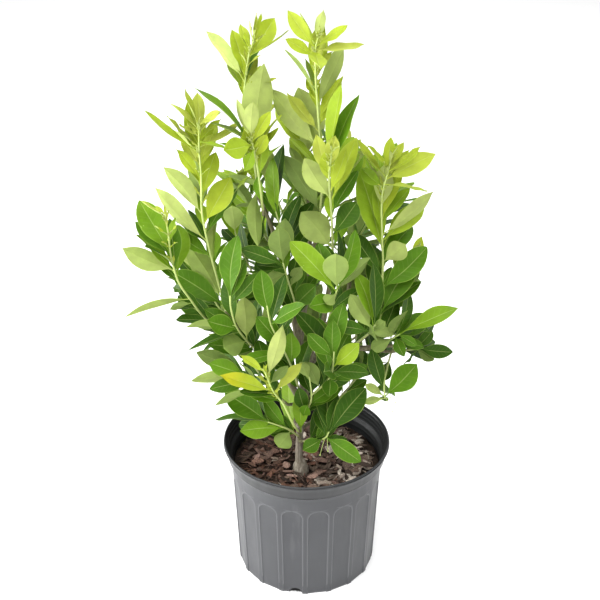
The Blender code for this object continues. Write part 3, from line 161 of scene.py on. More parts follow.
FRONT_SHOOTS = (
    Shoot("spire_left", 1, (
        (258, 193, 0.004), (254, 160, 0.008), (248, 125, 0.012), (244.5, 97, 0.014), (246, 75, 0.015),
        (249, 54, 0.015), (254, 40, 0.015),
    ), (
        (245, 84, 207, 31, -0.3, -12, 0.7), (246, 80, 231, 30, 0.5, 14, 0.7),
        (244, 95, 228, 62, 0.7, 9, 0.6), (249, 58, 277, 14, -0.3, 19, 0.8), (250, 56, 289, 31, 0.5, 3, 0.8),
        (250, 50, 244, 32, 0.0, 5, 0.8), (253, 42, 256, 13, 0.0, 3, 1.0), (253, 42, 249, 20, 0.0, -3, 1.0),
        (254, 41, 261, 14, 0.0, 3, 1.0), (255, 172, 282, 143, 0.2, 3, 0.4),
        (255, 174, 232, 194, 0.2, 3, 0.4), (257, 190, 258, 249, -0.3, -13, 0.3),
    )),
    Shoot("tuft_upper_left", 1, (
        (263, 210, -0.022), (260, 185, -0.036), (256, 160, -0.045), (251, 138, -0.052),
    ), (
        (256, 152, 264, 63, 0.0, -29, 0.6), (257, 152, 280, 67, 0.3, 10, 0.6),
        (251, 137, 236, 99, 0.3, -9, 1.0), (251, 138, 253, 101, -0.3, -14, 0.9),
        (253, 142, 271, 111, -0.3, 12, 0.9), (252, 144, 223, 150, -0.5, 20, 0.6),
        (255, 157, 244, 131, -0.7, 15, 0.8), (256, 157, 267, 134, -0.5, 12, 0.8),
        (253, 148, 196, 86, -0.2, 4, 0.4), (252, 145, 211, 122, 0.3, 3, 0.5),
        (257, 156, 278, 113, 0.5, 3, 0.6), (258, 160, 280, 128, -0.2, 5, 0.6),
        (254, 150, 245, 171, -0.5, 12, 0.5),
    )),
    Shoot("spire_right", 1, (
        (320, 216, 0.004), (322, 182, -0.004), (321, 150, -0.010), (318.5, 120, -0.015), (317, 99, -0.018),
        (315.4, 76, -0.020), (315.4, 50, -0.020), (318, 37, -0.020),
    ), (
        (314.5, 48, 288, 11, -0.2, 14, 0.8), (314.5, 44, 301, 13, 0.5, 3, 0.8),
        (314.5, 57, 285, 39, -0.6, 10, 0.7), (317, 42, 323, 9, 0.2, -9, 1.0),
        (318, 46, 348, 25, -0.3, 8, 0.9), (317, 50, 364, 44, 0.3, 9, 0.9),
        (317, 108, 346, 45, -0.2, -18, 0.6), (316, 52, 320, 70, -1.0, 13, 0.7),
        (315, 97, 284, 50, 0.4, -5, 0.5), (316, 106, 306, 57, -0.1, 11, 0.4),
        (320, 158, 298, 87, -0.2, -27, 0.6), (319, 150, 272, 90, -0.5, -19, 0.8),
        (319, 132, 286, 93, -0.8, 10, 1.0), (322, 172, 290, 137, -0.7, 7, 0.6),
        (320, 212, 284, 156, -0.3, -12, 0.3),
    )),
    Shoot("spire_far_left", 1, (
        (226, 311, -0.030), (219, 285, -0.032), (212, 260, -0.032), (207, 240, -0.032), (202, 213, -0.030),
        (201, 176, -0.030), (199, 150, -0.030), (199, 122, -0.030),
    ), (
        (199, 133, 197, 89, 0.3, 13, 1.0), (198, 152, 145, 112, -0.2, 12, 0.8),
        (198, 148, 166, 117, 0.4, 4, 0.8), (198, 150, 168, 127, 0.8, -8, 0.8),
        (199, 124, 224, 109, -0.4, 8, 1.0), (199, 137, 179, 124, 0.0, 4, 1.0),
        (199, 133, 187, 123, 0.0, 3, 1.0), (199, 124, 184, 89, 0.4, 3, 1.0),
        (200, 160, 214, 133, -0.2, 10, 0.9), (199, 166, 180, 131, 0.1, 12, 0.9),
        (202, 198, 216, 152, -0.3, 17, 0.7), (200, 178, 178, 150, -0.5, 11, 0.8),
        (201, 148, 241, 124, 0.3, 5, 0.8), (200, 142, 226, 149, -0.4, 5, 0.6),
        (202, 215, 164, 167, -0.4, -16, 0.7), (207, 242, 155, 187, -0.2, -17, 0.8),
        (202, 210, 191, 143, -0.4, -18, 0.5), (204, 224, 231, 177, -0.4, 23, 0.7),
        (201, 200, 208, 152, 0.2, 12, 0.6), (200, 188, 176, 149, 0.3, 9, 0.7),
        (210, 253, 190, 212, 0.7, 9, 0.2), (213, 266, 216, 210, -0.5, -9, 0.6),
        (208, 247, 169, 211, 0.5, 12, 0.2), (223, 300, 186, 242, -0.5, -22, 0.6),
        (225, 309, 171, 271, -0.2, 19, 0.2),
    )),
    Shoot("shoot_left", 1, (
        (226, 331, -0.045), (205, 318, -0.058), (190, 299, -0.066), (178, 281, -0.072), (171, 256, -0.078),
        (168.5, 236, -0.080), (165, 214, -0.080),
    ), (
        (170, 254, 139, 200, -0.3, 23, 0.4), (175, 272, 122, 248, -0.2, -20, 0.7),
        (165, 216, 141, 200, 0.4, 3, 0.9), (165, 215, 155, 206, 0.0, 4, 1.0),
        (173, 268, 178, 231, 0.6, -10, 0.3), (190, 299, 125, 317, -0.2, -9, 0.6),
        (193, 303, 169, 309, -0.4, -6, 0.5), (184, 290, 173, 287, 0.6, 8, 0.1),
    )),
    Shoot("tuft_left", 2, (
        (262, 355, -0.036), (247, 341, -0.066), (236, 326, -0.092), (231, 309, -0.108), (230, 296, -0.116),
    ), (
        (231, 303, 236, 235, -0.3, 20, 0.3), (238, 330, 208, 321, -0.6, 20, 0.2),
        (236, 327, 187, 325, 0.3, -10, 0.5), (240, 333, 189, 350, -0.1, 7, 0.2),
        (247, 340, 223, 348, -0.7, -22, 0.4), (236, 325, 226, 279, 0.4, 16, 0.2),
        (248, 341, 243, 296, -0.5, -20, 0.6), (256, 350, 243, 321, -0.6, 11, 0.1),
    )),
    Shoot("tuft_inner_left", 2, (
        (270, 305, 0.010), (252, 272, -0.004), (240, 248, -0.012), (235, 232, -0.018),
    ), (
        (235, 234, 232, 206, -0.8, -18, 0.4), (240, 250, 222, 228, 0.5, 12, 0.0),
        (250, 270, 239, 222, 0.4, 13, 0.0), (246, 262, 262, 222, 0.6, 14, 0.0),
    )),
    Shoot("tuft_centre", 2, (
        (300, 392, -0.036), (292, 368, -0.068), (281, 345, -0.098), (271, 325, -0.120), (267, 306, -0.130),
    ), (
        (268, 318, 261, 270, -0.3, 20, 0.3), (272, 325, 285, 275, 0.2, 15, 0.1),
        (280, 345, 257, 317, -0.7, 19, 0.3), (286, 355, 264, 306, 0.2, -10, 0.5),
        (292, 366, 291, 333, -0.6, 16, 0.3), (290, 364, 288, 327, 0.5, 12, 0.1),
    )),
    Shoot("shoot_lime", 0, (
        (298, 431, -0.052), (293, 424, -0.078), (283, 404, -0.108), (273, 391, -0.124), (265, 372, -0.134),
    ), (
        (268, 378, 284, 323, 0.0, -15, 1.0), (265, 373, 240, 355, -0.2, 8, 1.0),
        (273, 391, 220, 375, -0.3, 14, 0.9), (275, 391, 302, 363, -0.1, 12, 1.0),
        (270, 384, 288, 366, 0.4, -10, 0.4),
    )),
    Shoot("tuft_low_far_left", 1, (
        (285, 402, -0.045), (269, 391, -0.066), (253, 381, -0.080), (243, 373, -0.086),
    ), (
        (246, 376, 209, 363, -0.3, 17, 0.3), (245, 375, 197, 351, 0.2, -15, 0.2),
        (251, 380, 191, 380, 0.1, -8, 0.5), (253, 381, 209, 389, -0.3, 14, 0.3),
        (264, 388, 215, 405, -0.1, -5, 0.6), (248, 377, 222, 352, 0.5, 12, 0.0),
    )),
    Shoot("tuft_low_left", 0, (
        (298, 436, -0.048), (290, 430, -0.060), (280, 426, -0.068), (268, 422, -0.072),
    ), (
        (270, 422, 225, 392, 0.1, 23, 0.1), (269, 422, 212, 418, -0.2, 7, 0.1),
        (284, 427, 240, 431, -0.4, 18, 0.4), (291, 430, 278, 447, -0.5, -17, 0.5),
        (288, 429, 262, 397, 0.0, 13, 0.3), (294, 433, 288, 371, -0.1, 18, 0.5),
    )),
    Shoot("sprout_low_right", 0, (
        (303, 441, -0.047), (313, 442, -0.060), (325, 438, -0.072), (329, 432, -0.074),
    ), (
        (328, 434, 366, 388, -0.1, 23, 0.1), (323, 439, 303, 450, -0.3, 14, 0.2),
        (326, 437, 361, 462, -0.4, 18, 0.3), (309, 441, 321, 400, -0.1, 13, 0.2),
        (326, 436, 316, 411, 0.5, 11, 0.0),
    )),
    Shoot("tuft_trunk", 0, (
        (302, 418, -0.044), (309, 406, -0.056), (311.5, 396, -0.063), (309.5, 377, -0.068),
    ), (
        (309.5, 378, 300, 362, -0.2, -11, 0.5), (311, 396, 301, 366, 0.4, 13, 0.0),
        (309, 404, 321, 378, 0.4, 13, 0.1), (305, 412, 297, 383, 0.2, 13, 0.1),
        (311, 392, 320, 360, 0.2, 12, 0.0), (303, 416, 312, 392, -0.2, 12, 0.2),
    )),
    Shoot("tuft_centre_right", 1, (
        (310, 396, -0.036), (320, 388, -0.064), (330, 378, -0.094), (333, 366, -0.116), (334, 352, -0.128),
    ), (
        (333, 358, 343, 302, -0.1, 18, 0.3), (333, 362, 333, 320, -0.6, 15, 0.2),
        (334, 364, 350, 332, 0.3, 14, 0.2), (334, 367, 359, 344, -0.5, 16, 0.5),
        (333, 357, 308, 334, -0.4, 15, 0.1), (330, 378, 329, 396, -0.7, 15, 0.0),
        (332, 372, 369, 373, -0.1, 14, 0.1), (332, 360, 296, 310, 0.2, 18, 0.2),
        (320, 388, 305, 362, -0.4, -14, 0.3),
    )),
    Shoot("tuft_inner_middle", 1, (
        (299, 324, -0.018), (295, 303, -0.036), (288, 280, -0.056), (283, 263, -0.066),
    ), (
        (283, 265, 241, 249, -0.2, 16, 0.0), (283, 264, 279, 227, -0.5, -22, 0.3),
        (283, 263, 285, 219, 0.4, -20, 0.1), (284, 268, 256, 265, 0.4, 10, 0.1),
        (286, 274, 267, 281, -0.4, -13, 0.2), (289, 283, 297, 257, 0.6, 13, 0.0),
        (291, 287, 301, 267, -0.3, -12, 0.3), (296, 305, 316, 285, -0.5, 20, 0.3),
    )),
    Shoot("tuft_mid_right", 1, (
        (328, 322, -0.044), (332, 306, -0.080), (337, 290, -0.108),
    ), (
        (336, 291, 290, 241, -0.1, 22, 0.3), (337, 290, 336, 254, -0.6, -23, 0.5),
        (336, 293, 326, 303, -0.6, -12, 0.3), (337, 291, 371, 255, 0.1, -12, 0.4),
        (337, 290, 356, 229, 0.5, 16, 0.3), (337, 292, 338, 231, 0.8, 9, 0.0),
    )),
    Shoot("tuft_upper_middle", 2, (
        (292, 272, -0.008), (286, 250, -0.013), (280, 226, -0.018), (276, 212, -0.020),
    ), (
        (277, 215, 283, 143, 0.0, 15, 0.1), (278, 222, 271, 158, -0.5, 14, 0.4),
        (284, 244, 300, 196, 0.4, 14, 0.0), (280, 228, 253, 190, 0.5, 14, 0.1),
        (286, 252, 310, 200, 0.7, 12, 0.0),
    )),
    Shoot("shoot_middle", 1, (
        (333, 257, -0.032), (331.5, 214, -0.052), (329, 184, -0.070), (330, 165, -0.080), (332, 150, -0.086),
    ), (
        (331, 167, 344, 84, 0.2, 9, 0.6), (332, 170, 359, 94, 0.3, 18, 0.3),
        (331, 168, 336, 133, -0.4, 13, 0.9), (330, 203, 356, 137, -0.3, 15, 0.9),
        (330, 178, 316, 134, -0.2, 14, 0.9), (331, 184, 327, 150, -0.7, 13, 0.8),
        (331, 192, 346, 148, 0.0, 12, 0.8), (331, 206, 360, 150, 0.6, 5, 0.5),
        (331, 213, 358, 171, 0.5, 16, 0.1), (332, 236, 357, 202, 0.4, 21, 0.0),
        (332, 250, 301, 212, -0.5, -27, 0.5), (330, 166, 325, 122, 0.8, 9, 0.1),
        (329, 198, 304, 158, -0.4, -20, 0.8),
    )),
    Shoot("tuft_right", 1, (
        (346, 351, -0.032), (358, 342, -0.066), (370, 332, -0.096), (375, 325, -0.108),
    ), (
        (372, 330, 350, 294, -0.3, -18, 0.6), (372, 331, 385, 321, -0.5, -10, 0.4),
        (371, 332, 336, 326, -0.3, 14, 0.2), (374, 328, 357, 271, 0.3, 15, 0.3),
        (375, 327, 373, 263, 0.7, 14, 0.0), (366, 336, 361, 303, 0.6, 14, 0.0),
    )),
    Shoot("spire_far_right", 2, (
        (379, 323, -0.016), (381, 300, -0.010), (383, 265, -0.002), (382, 235, 0.004), (381.5, 207, 0.008),
        (383, 190, 0.010), (388, 172, 0.010), (391, 158, 0.010),
    ), (
        (382, 314, 417, 257, -0.3, 25, 0.3), (383, 288, 427, 247, 0.3, 24, 0.1),
        (381, 316, 423, 280, 0.5, 12, 0.0), (383, 262, 405, 244, -0.7, -20, 0.7),
        (382, 242, 431, 201, -0.1, 19, 0.6), (382, 236, 434, 192, 0.3, -13, 0.8),
        (383, 250, 414, 199, 0.6, 3, 0.5), (382, 222, 402, 165, 0.1, 15, 0.7),
        (382, 209, 384, 165, -0.6, -19, 0.8), (382, 252, 358, 172, -0.1, 22, 0.6),
        (382, 238, 375, 186, -0.7, 13, 0.7), (388, 172, 391, 137, -0.2, 12, 0.8),
        (386, 178, 357, 138, -0.1, 7, 0.8), (390, 166, 404, 142, 0.2, 8, 1.0),
        (389, 172, 421, 147, -0.1, 9, 0.8), (386, 180, 434, 151, -0.2, 19, 0.8),
        (388, 176, 397, 147, -0.4, 9, 1.0), (388, 178, 411, 148, -0.3, 10, 0.9),
        (385, 184, 427, 192, -0.4, 5, 0.7), (384, 188, 361, 168, 0.6, 13, 0.4),
        (383, 280, 352, 232, 0.8, 16, 0.1),
    )),
    Shoot("shoot_right_low", 1, (
        (376, 346, -0.016), (388, 341, -0.026), (400, 334, -0.032),
    ), (
        (400, 333, 458, 306, -0.1, 17, 0.3), (398, 334, 420, 319, 0.6, 8, 0.0),
        (399, 335, 417, 346, -0.2, 9, 0.2), (396, 337, 404, 356, -0.5, 11, 0.2),
        (398, 335, 374, 331, -0.6, -10, 0.4), (394, 338, 371, 349, -0.6, -13, 0.3),
    )),
    Shoot("twig_right", 1, (
        (396, 351, 0.020), (408, 350, 0.016), (418, 349, 0.012),
    ), (
        (418, 349, 453, 352, -0.4, 14, 0.1), (416, 350, 434, 360, -0.2, -10, 0.1),
        (417, 349, 404, 364, 0.2, 3, 0.1), (414, 350, 432, 331, 0.4, 12, 0.1),
    )),
    Shoot("tuft_low_right", 1, (
        (391, 353, -0.010), (387, 368, -0.026), (384, 384, -0.036), (385, 398, -0.040),
    ), (
        (385, 397, 417, 364, -0.2, 23, 0.3), (384, 390, 371, 349, -0.4, 13, 0.1),
        (385, 396, 365, 384, -0.2, -8, 0.6), (385, 398, 363, 403, -0.2, -8, 0.6),
    )),
)

# The outline of the leafage as the front view shows it; what grows by rule stays inside it
OUTLINE = (
    (207, 30), (231, 29), (256, 13), (278, 14), (262, 50), (250, 62), (265, 64), (280, 67),
    (283, 95), (298, 87), (306, 57), (286, 38), (288, 11), (323, 9), (364, 44), (344, 84),
    (359, 94), (352, 132), (378, 150), (391, 137), (434, 151), (412, 178), (434, 193),
    (420, 225), (427, 247), (422, 285), (408, 310), (458, 306), (432, 330), (453, 352),
    (417, 366), (408, 388), (384, 404), (366, 398), (345, 420), (361, 462), (325, 440),
    (278, 447), (240, 431), (212, 418), (226, 395), (191, 380), (197, 352), (212, 338),
    (187, 325), (150, 310), (172, 290), (122, 248), (139, 200), (164, 167), (176, 149),
    (145, 112), (184, 89), (226, 109), (243, 100), (232, 75),
)

# Openings in the leafage where the front view shows light: (x, y, half width, half height)
OPENINGS = (
    (276, 140, 8, 16), (286, 187, 5, 10), (234, 163, 9, 8), (220, 158, 6, 13), (270, 182, 4, 9),
    (398, 360, 12, 7), (370, 388, 3, 8), (352, 192, 4, 8), (232, 128, 8, 12), (340, 112, 5, 10),
)

# Shoots that grow by rule, at the back and inside: tiers of (height of the tips, reach,
# number, first azimuth, turn between shoots); 90 degrees points straight away from the eye
BackTier = namedtuple("BackTier", "height reach count first turn")

BACK_TIERS = (
    BackTier(0.400, 0.150, 3, 30.0, 58.0),
    BackTier(0.530, 0.185, 4, 14.0, 50.0),
    BackTier(0.650, 0.160, 3, 42.0, 46.0),
    BackTier(0.745, 0.095, 3, 50.0, 42.0),
)
BACK_MIDDLE = Vector((0.0, 0.005, 0.0))
BACK_LEAVES = 8
# (share of the reach, drop below the tip) of a back shoot's butt and its elbow
BACK_BUTT = (0.42, 0.115)
BACK_ELBOW = (0.80, 0.062)
GOLDEN_TURN = math.radians(137.5)

Leaf = namedtuple("Leaf", "root way up length width bow fold youth")


# Sight lines


def sight(across, down):
    """The direction from the eye through that place in the picture."""
    sideways = RIGHT * ((across - PICTURE_MIDDLE) / PICTURE_FOCAL)
    upwards = UPRIGHT * ((PICTURE_MIDDLE - down) / PICTURE_FOCAL)
    return FORWARD + sideways + upwards


def place(across, down, depth):
    """The point seen at that place in the picture whose world y is the depth."""
    ray = sight(across, down)
    return EYE + ray * ((depth - EYE.y) / ray.y)


def distance(point):
    """How far the point is in front of the eye."""
    return (point - EYE).dot(FORWARD)


def seen_at(point):
    """Where the point is seen in the picture."""
    away = point - EYE
    far = away.dot(FORWARD)
    across = PICTURE_MIDDLE + PICTURE_FOCAL * away.dot(RIGHT) / far
    down = PICTURE_MIDDLE - PICTURE_FOCAL * away.dot(UPRIGHT) / far
    return Vector((across, down))


def inside_outline(point):
    """True where the point is seen inside the leafage's outline and outside its openings."""
    spot = seen_at(point)
    inside = False
    for index, corner in enumerate(OUTLINE):
        last = OUTLINE[index - 1]
        if (corner[1] > spot.y) != (last[1] > spot.y):
            share = (spot.y - corner[1]) / (last[1] - corner[1])
            if spot.x < corner[0] + share * (last[0] - corner[0]):
                inside = not inside
    if any(math.hypot((spot.x - x) / wide, (spot.y - y) / high) < 1.0 for x, y, wide, high in OPENINGS):
        return False
    return inside


# Routes, grids and tubes


def smooth_route(points, steps):
    """Points along a smooth curve through the given ones, steps to each span."""
    points = [Vector(point) for point in points]
    ends = [2 * points[0] - points[1]] + points + [2 * points[-1] - points[-2]]
    route = []
    for index in range(1, len(ends) - 2):
        before, start, stop, after = ends[index - 1 : index + 3]
        for step in range(steps):
            t = step / steps
            bend = 2 * before - 5 * start + 4 * stop - after
            twist = 3 * (start - stop) + after - before
            route.append(start + ((stop - before) * t + bend * t * t + twist * t**3) / 2)
    route.append(points[-1])
    return route


def divided(route, steps):
    """The same straight spans, each cut into so many."""
    points = []
    for start, stop in zip(route, route[1:]):
        points += [start.lerp(stop, step / steps) for step in range(steps)]
    return points + [route[-1]]


def heading(route, index):
    """The route's direction at one of its points."""
    before = route[max(index - 1, 0)]
    after = route[min(index + 1, len(route) - 1)]
    return (after - before).normalized()


def taper(route, start, stop):
    """Radii that run evenly from start to stop along the route."""
    last = len(route) - 1
    return [start + (stop - start) * index / last for index in range(len(route))]


def grid_faces(rows, columns, start=0, flip=False, closed=True):
    """The faces of a grid of points; closed joins its last column to its first."""
    faces = []
    for row in range(rows - 1):
        for column in range(columns if closed else columns - 1):
            near = start + row * columns + column
            beside = start + row * columns + (column + 1) % columns
            face = (near, beside, beside + columns, near + columns)
            faces.append(face[::-1] if flip else face)
    return faces


def fan_faces(start, columns, middle):
    """The faces between a ring of points and the point that closes it."""
    return [(start + column, start + (column + 1) % columns, middle) for column in range(columns)]


def tube(route, radii, sides):
    """Points and faces of a tube with flat ends along the route."""
    points = []
    ring_x = heading(route, 0).orthogonal().normalized()
    for index, middle in enumerate(route):
        along = heading(route, index)
        ring_x = (ring_x - along * ring_x.dot(along)).normalized()
        ring_y = along.cross(ring_x)
        for side in range(sides):
            angle = 2 * math.pi * side / sides
            outwards = ring_x * math.cos(angle) + ring_y * math.sin(angle)
            points.append(middle + outwards * radii[index])
    ends = [tuple(reversed(range(sides))), tuple(range(len(points) - sides, len(points)))]
    return points, grid_faces(len(route), sides) + ends


# Leaves as the solids have them


def outline_share(t):
    """How wide the leaf is at t along it, as a share of its full width."""
    if t <= PETIOLE:
        return STALK_SHARE
    blade = (t - PETIOLE) / (1.0 - PETIOLE)
    return max(STALK_SHARE * (1.0 - blade), math.sin(math.pi * blade**1.04) ** 0.68)


def leaf_spine(leaf, t):
    """The middle of the leaf at t, and the direction its upper face has there."""
    rise = leaf.bow * leaf.length * 4 * t * (1 - t)
    middle = leaf.root + leaf.way * (leaf.length * t) + leaf.up * rise
    facing = (leaf.up - leaf.way * (leaf.bow * 4 * (1 - 2 * t))).normalized()
    return middle, facing


def leaf_edge(leaf, t, grow=0.0):
    """The two edges of the leaf at t."""
    middle, facing = leaf_spine(leaf, t)
    half = leaf.width / 2 * outline_share(t) + grow
    sideways = leaf.way.cross(leaf.up) * half
    raised = facing * (half * leaf.fold)
    return middle - sideways + raised, middle + sideways + raised


def leaf_spots(leaf, shares):
    """Points on the leaf's two edges and its middle at these shares of its length."""
    return [point for t in shares for point in (*leaf_edge(leaf, t), leaf_spine(leaf, t)[0])]


def leaf_envelope(leaf, start):
    """A search tree of the space the leaf takes up, from start along it to its tip."""
    points = []
    stations = [start + (1.0 - start) * share for share in (0.0, 0.15, 0.3, 0.46, 0.63, 0.82, 1.0)]
    for t in stations:
        middle, facing = leaf_spine(leaf, t)
        left, right = leaf_edge(leaf, t, CLEARANCE)
        thick = facing * (KEEL + CLEARANCE)
        thin = facing * (KEEL * 0.4 + CLEARANCE)
        points += [left - thin, left + thin, middle + thick, right + thin, right - thin, middle - thick]
    return BVHTree.FromPolygons(points, grid_faces(len(stations), 6))


def leaf_strips(leaves, start):
    """A search tree of the leaves as flat strips, from start along each to near its tip."""
    points = []
    faces = []
    for leaf in leaves:
        faces += grid_faces(5, 2, len(points), closed=False)
        for t in (start, 0.36, 0.58, 0.8, 0.97):
            points += leaf_edge(leaf, t)
    return BVHTree.FromPolygons(points, faces)


def botanical_up(way, axis):
    """The way a leaf's upper face looks when it grows along way from a stem along axis."""
    up = axis - way * axis.dot(way)
    if up.length < 0.15:
        up = Vector((0, 0, 1)) - way * way.z
    if up.length < 0.05:
        up = way.orthogonal()
    return up.normalized()


def by_youth(grown, young, youth):
    """A measure between that of a grown leaf and that of a young one."""
    return grown + (young - grown) * youth


def read_leaf(row, route):
    """A leaf as the front view shows it, on the point of the route nearest to its root."""
    root_x, root_y, tip_x, tip_y, lean, seen, youth = row
    spot = Vector((root_x, root_y))
    clear = [index for index, point in enumerate(route) if (point - route[0]).length > BUTT_CLEAR]
    nearest = min(clear, key=lambda index: (seen_at(route[index]) - spot).length)
    root = route[nearest]
    far = distance(root)
    ray = sight(tip_x, tip_y)
    flat_tip = EYE + ray * far
    flat = (flat_tip - root).length
    tilt = lean * math.acos(min(1.0, flat / by_youth(LEAF_LENGTH, YOUNG_LENGTH, youth)))
    tip = flat_tip + ray.normalized() * (flat * math.tan(tilt))
    way = (tip - root).normalized()
    length = (tip - root).length
    seen_width = abs(seen) * far / PICTURE_FOCAL
    width = max(length * by_youth(LEAF_RATIO, YOUNG_RATIO, youth), seen_width)
    toward = EYE - (root + tip) / 2
    facing = (toward - way * toward.dot(way)).normalized()
    beside = way.cross(facing)
    growing = botanical_up(way, heading(route, nearest))
    roll = math.acos(min(1.0, seen_width / width))
    turned = beside if beside.dot(growing) >= 0 else -beside
    up = facing * math.copysign(math.cos(roll), seen) + turned * math.sin(roll)
    bow = LEAF_BOW if youth < 0.75 else -0.4 * LEAF_BOW
    return Leaf(root, way, up.normalized(), length, width, bow, LEAF_FOLD, youth)


def rule_leaf(route, share, turn, opening, length, youth, chance):
    """A leaf that leaves the stem at share of its length, turned about it."""
    index = min(int(share * (len(route) - 1)), len(route) - 1)
    axis = heading(route, index)
    across = Quaternion(axis, turn) @ axis.orthogonal().normalized()
    way = (axis * math.cos(opening) + across * math.sin(opening)).normalized()
    way = (way + Vector((0, 0, 0.10))).normalized()
    up = Quaternion(way, chance.uniform(-0.35, 0.35)) @ botanical_up(way, axis)
    width = length * by_youth(LEAF_RATIO, YOUNG_RATIO, youth)
    bow = LEAF_BOW * chance.uniform(0.6, 1.5)
    return Leaf(route[index], way, up, length, width, bow, LEAF_FOLD, youth)


def turned_leaf(leaf, swing, direction, roll):
    """The leaf swung about its root and rolled about its length."""
    hinge = leaf.way.cross((leaf.root - EYE).normalized())
    if hinge.length < 0.1:
        hinge = leaf.way.orthogonal()
    hinge = Quaternion(leaf.way, direction) @ hinge.normalized()
    spin = Quaternion(hinge, swing)
    way = spin @ leaf.way
    return leaf._replace(way=way, up=Quaternion(way, roll) @ (spin @ leaf.up))


# Room for the leaves

# The turns that a leaf may take to keep clear of what is in place, in degrees, how much they
# show from the front, and how short it may become
SWINGS = (5, 10, 16, 23, 31, 40, 50)
DIRECTIONS = (0, 180, 45, 135, 225, 315, 90, 270)
ROLLS = (0, 20, -20)
SIDEWAYS_COST = 3.0
ROLL_COST = 0.15
SHORTENINGS = (1.0, 0.86, 0.72)

# The ball round a leaf as a share of its length, and where along it its search trees start
BALL_SHARE = 0.56
WHOLE_START = 0.05
OUTER_START = 0.3


def turn_cost(turn):
    """How much a turn shows from the front: swings in depth show least."""
    swing, direction, roll = turn
    aside = SIDEWAYS_COST * abs(math.sin(direction)) + abs(math.cos(direction))
    return math.sin(swing) * aside + (ROLL_COST if roll else 0.0)


def all_turns():
    """Every (swing, direction, roll) that a leaf may take, in radians, the least seen first."""
    turns = [*product(SWINGS, DIRECTIONS, ROLLS), *product((0,), (0,), ROLLS)]
    return sorted([tuple(math.radians(angle) for angle in turn) for turn in turns], key=turn_cost)


TURNS = all_turns()
Room = namedtuple("Room", "middle ball whole outer")


def room_of(leaf):
    """The ball round a leaf, and the search trees of nearly all of it and of its outer part."""
    middle = leaf.root + leaf.way * (leaf.length / 2)
    whole, outer = leaf_envelope(leaf, WHOLE_START), leaf_envelope(leaf, OUTER_START)
    return Room(middle, leaf.length * BALL_SHARE, whole, outer)


def stays_inside(leaf):
    """True where the leaf is seen inside the leafage's outline."""
    points = [leaf_spine(leaf, 1.0)[0], *leaf_edge(leaf, 0.35), *leaf_edge(leaf, 0.6), *leaf_edge(leaf, 0.85)]
    return all(inside_outline(point) for point in points)


def clear_of_pot(leaf):
    """True where the leaf stays off the rim and above the soil."""
    for point in leaf_spots(leaf, (0.12, 0.3, 0.5, 0.7, 0.85, 1.0)):
        low = point.z < POT_HEIGHT + POT_KEEP_OUT
        if low and math.hypot(point.x, point.y) > BODY_TOP_RADIUS - POT_WALL - POT_KEEP_OUT:
            return False
        if point.z < SOIL_EDGE + SOIL_MOUND + CHIP_THICKNESS:
            return False
    return True


class Crowd:
    """The stems and leaves in place, and whether a new leaf keeps clear of them."""

    def __init__(self, names):
        self.grown = {name: [] for name in names}
        self.rooms = []
        self.stems = []
        self.shown = None

    def add_stem(self, owner, route, radii, sides):
        """Take the room of a stem or a branch."""
        roomy = [radius + CLEARANCE for radius in radii]
        self.stems.append((owner, BVHTree.FromPolygons(*tube(route, roomy, sides))))

    def add_leaf(self, owner, leaf):
        """Take the room of a leaf."""
        self.rooms.append((owner, room_of(leaf)))

    def clear(self, owner, leaf):
        """True where the leaf meets nothing; on its own shoot its root may."""
        if not clear_of_pot(leaf):
            return False
        room = room_of(leaf)
        if any((room.outer if other == owner else room.whole).overlap(stem) for other, stem in self.stems):
            return False
        for other, taken in self.rooms:
            if (room.middle - taken.middle).length > room.ball + taken.ball:
                continue
            if room.outer.overlap(taken.outer) if other == owner else room.whole.overlap(taken.whole):
                return False
        return True

    def show(self):
        """Keep what the front view shows of the leaves grown so far free from now on."""
        self.shown = leaf_strips([leaf for grown in self.grown.values() for leaf in grown], 0.16)

    def hiding(self, leaf, shares):
        """How many of the leaf's points would stand before a leaf that the front view shows."""
        hits = [self.shown.ray_cast(spot, (spot - EYE).normalized())[0] for spot in leaf_spots(leaf, shares)]
        return len(hits) - hits.count(None)

    def settle(self, owner, leaf, keep_inside):
        """Grow the leaf as it finds room, if it does."""
        for shorter in SHORTENINGS:
            trial = leaf._replace(length=leaf.length * shorter, width=leaf.width * shorter)
            for turn in TURNS:
                candidate = turned_leaf(trial, *turn)
                if keep_inside and not stays_inside(candidate):
                    continue
                if keep_inside and self.hiding(candidate, (0.2, 0.45, 0.7, 1.0)):
                    continue
                if self.clear(owner, candidate):
                    self.add_leaf(owner, candidate)
                    self.grown[owner].append(candidate)
                    return


# Shapes of the pot and the soil that the solids share


def eased(value):
    """A smooth step from 0 to 1."""
    value = min(1.0, max(0.0, value))
    return value * value * (3 - 2 * value)


def body_radius(height):
    """The pot body's outer radius at a height."""
    share = height / (POT_HEIGHT - RIM_BAND)
    return BASE_RADIUS + (BODY_TOP_RADIUS - BASE_RADIUS) * share


def around(angle, radius, height):
    """A point at an angle about the pot's axis."""
    return Vector((radius * math.cos(angle), radius * math.sin(angle), height))


def soil_height(x, y):
    """The height of the soil's surface."""
    out = math.hypot(x, y) / BODY_TOP_RADIUS
    ripple = math.sin(x * 165.0 + 0.8) * math.cos(y * 140.0 - 0.4) + 0.5 * math.sin((x + y) * 260.0)
    return SOIL_EDGE + SOIL_MOUND * (1 - out * out) + SOIL_RELIEF * ripple


# The plant's layout, the same as that of the solids


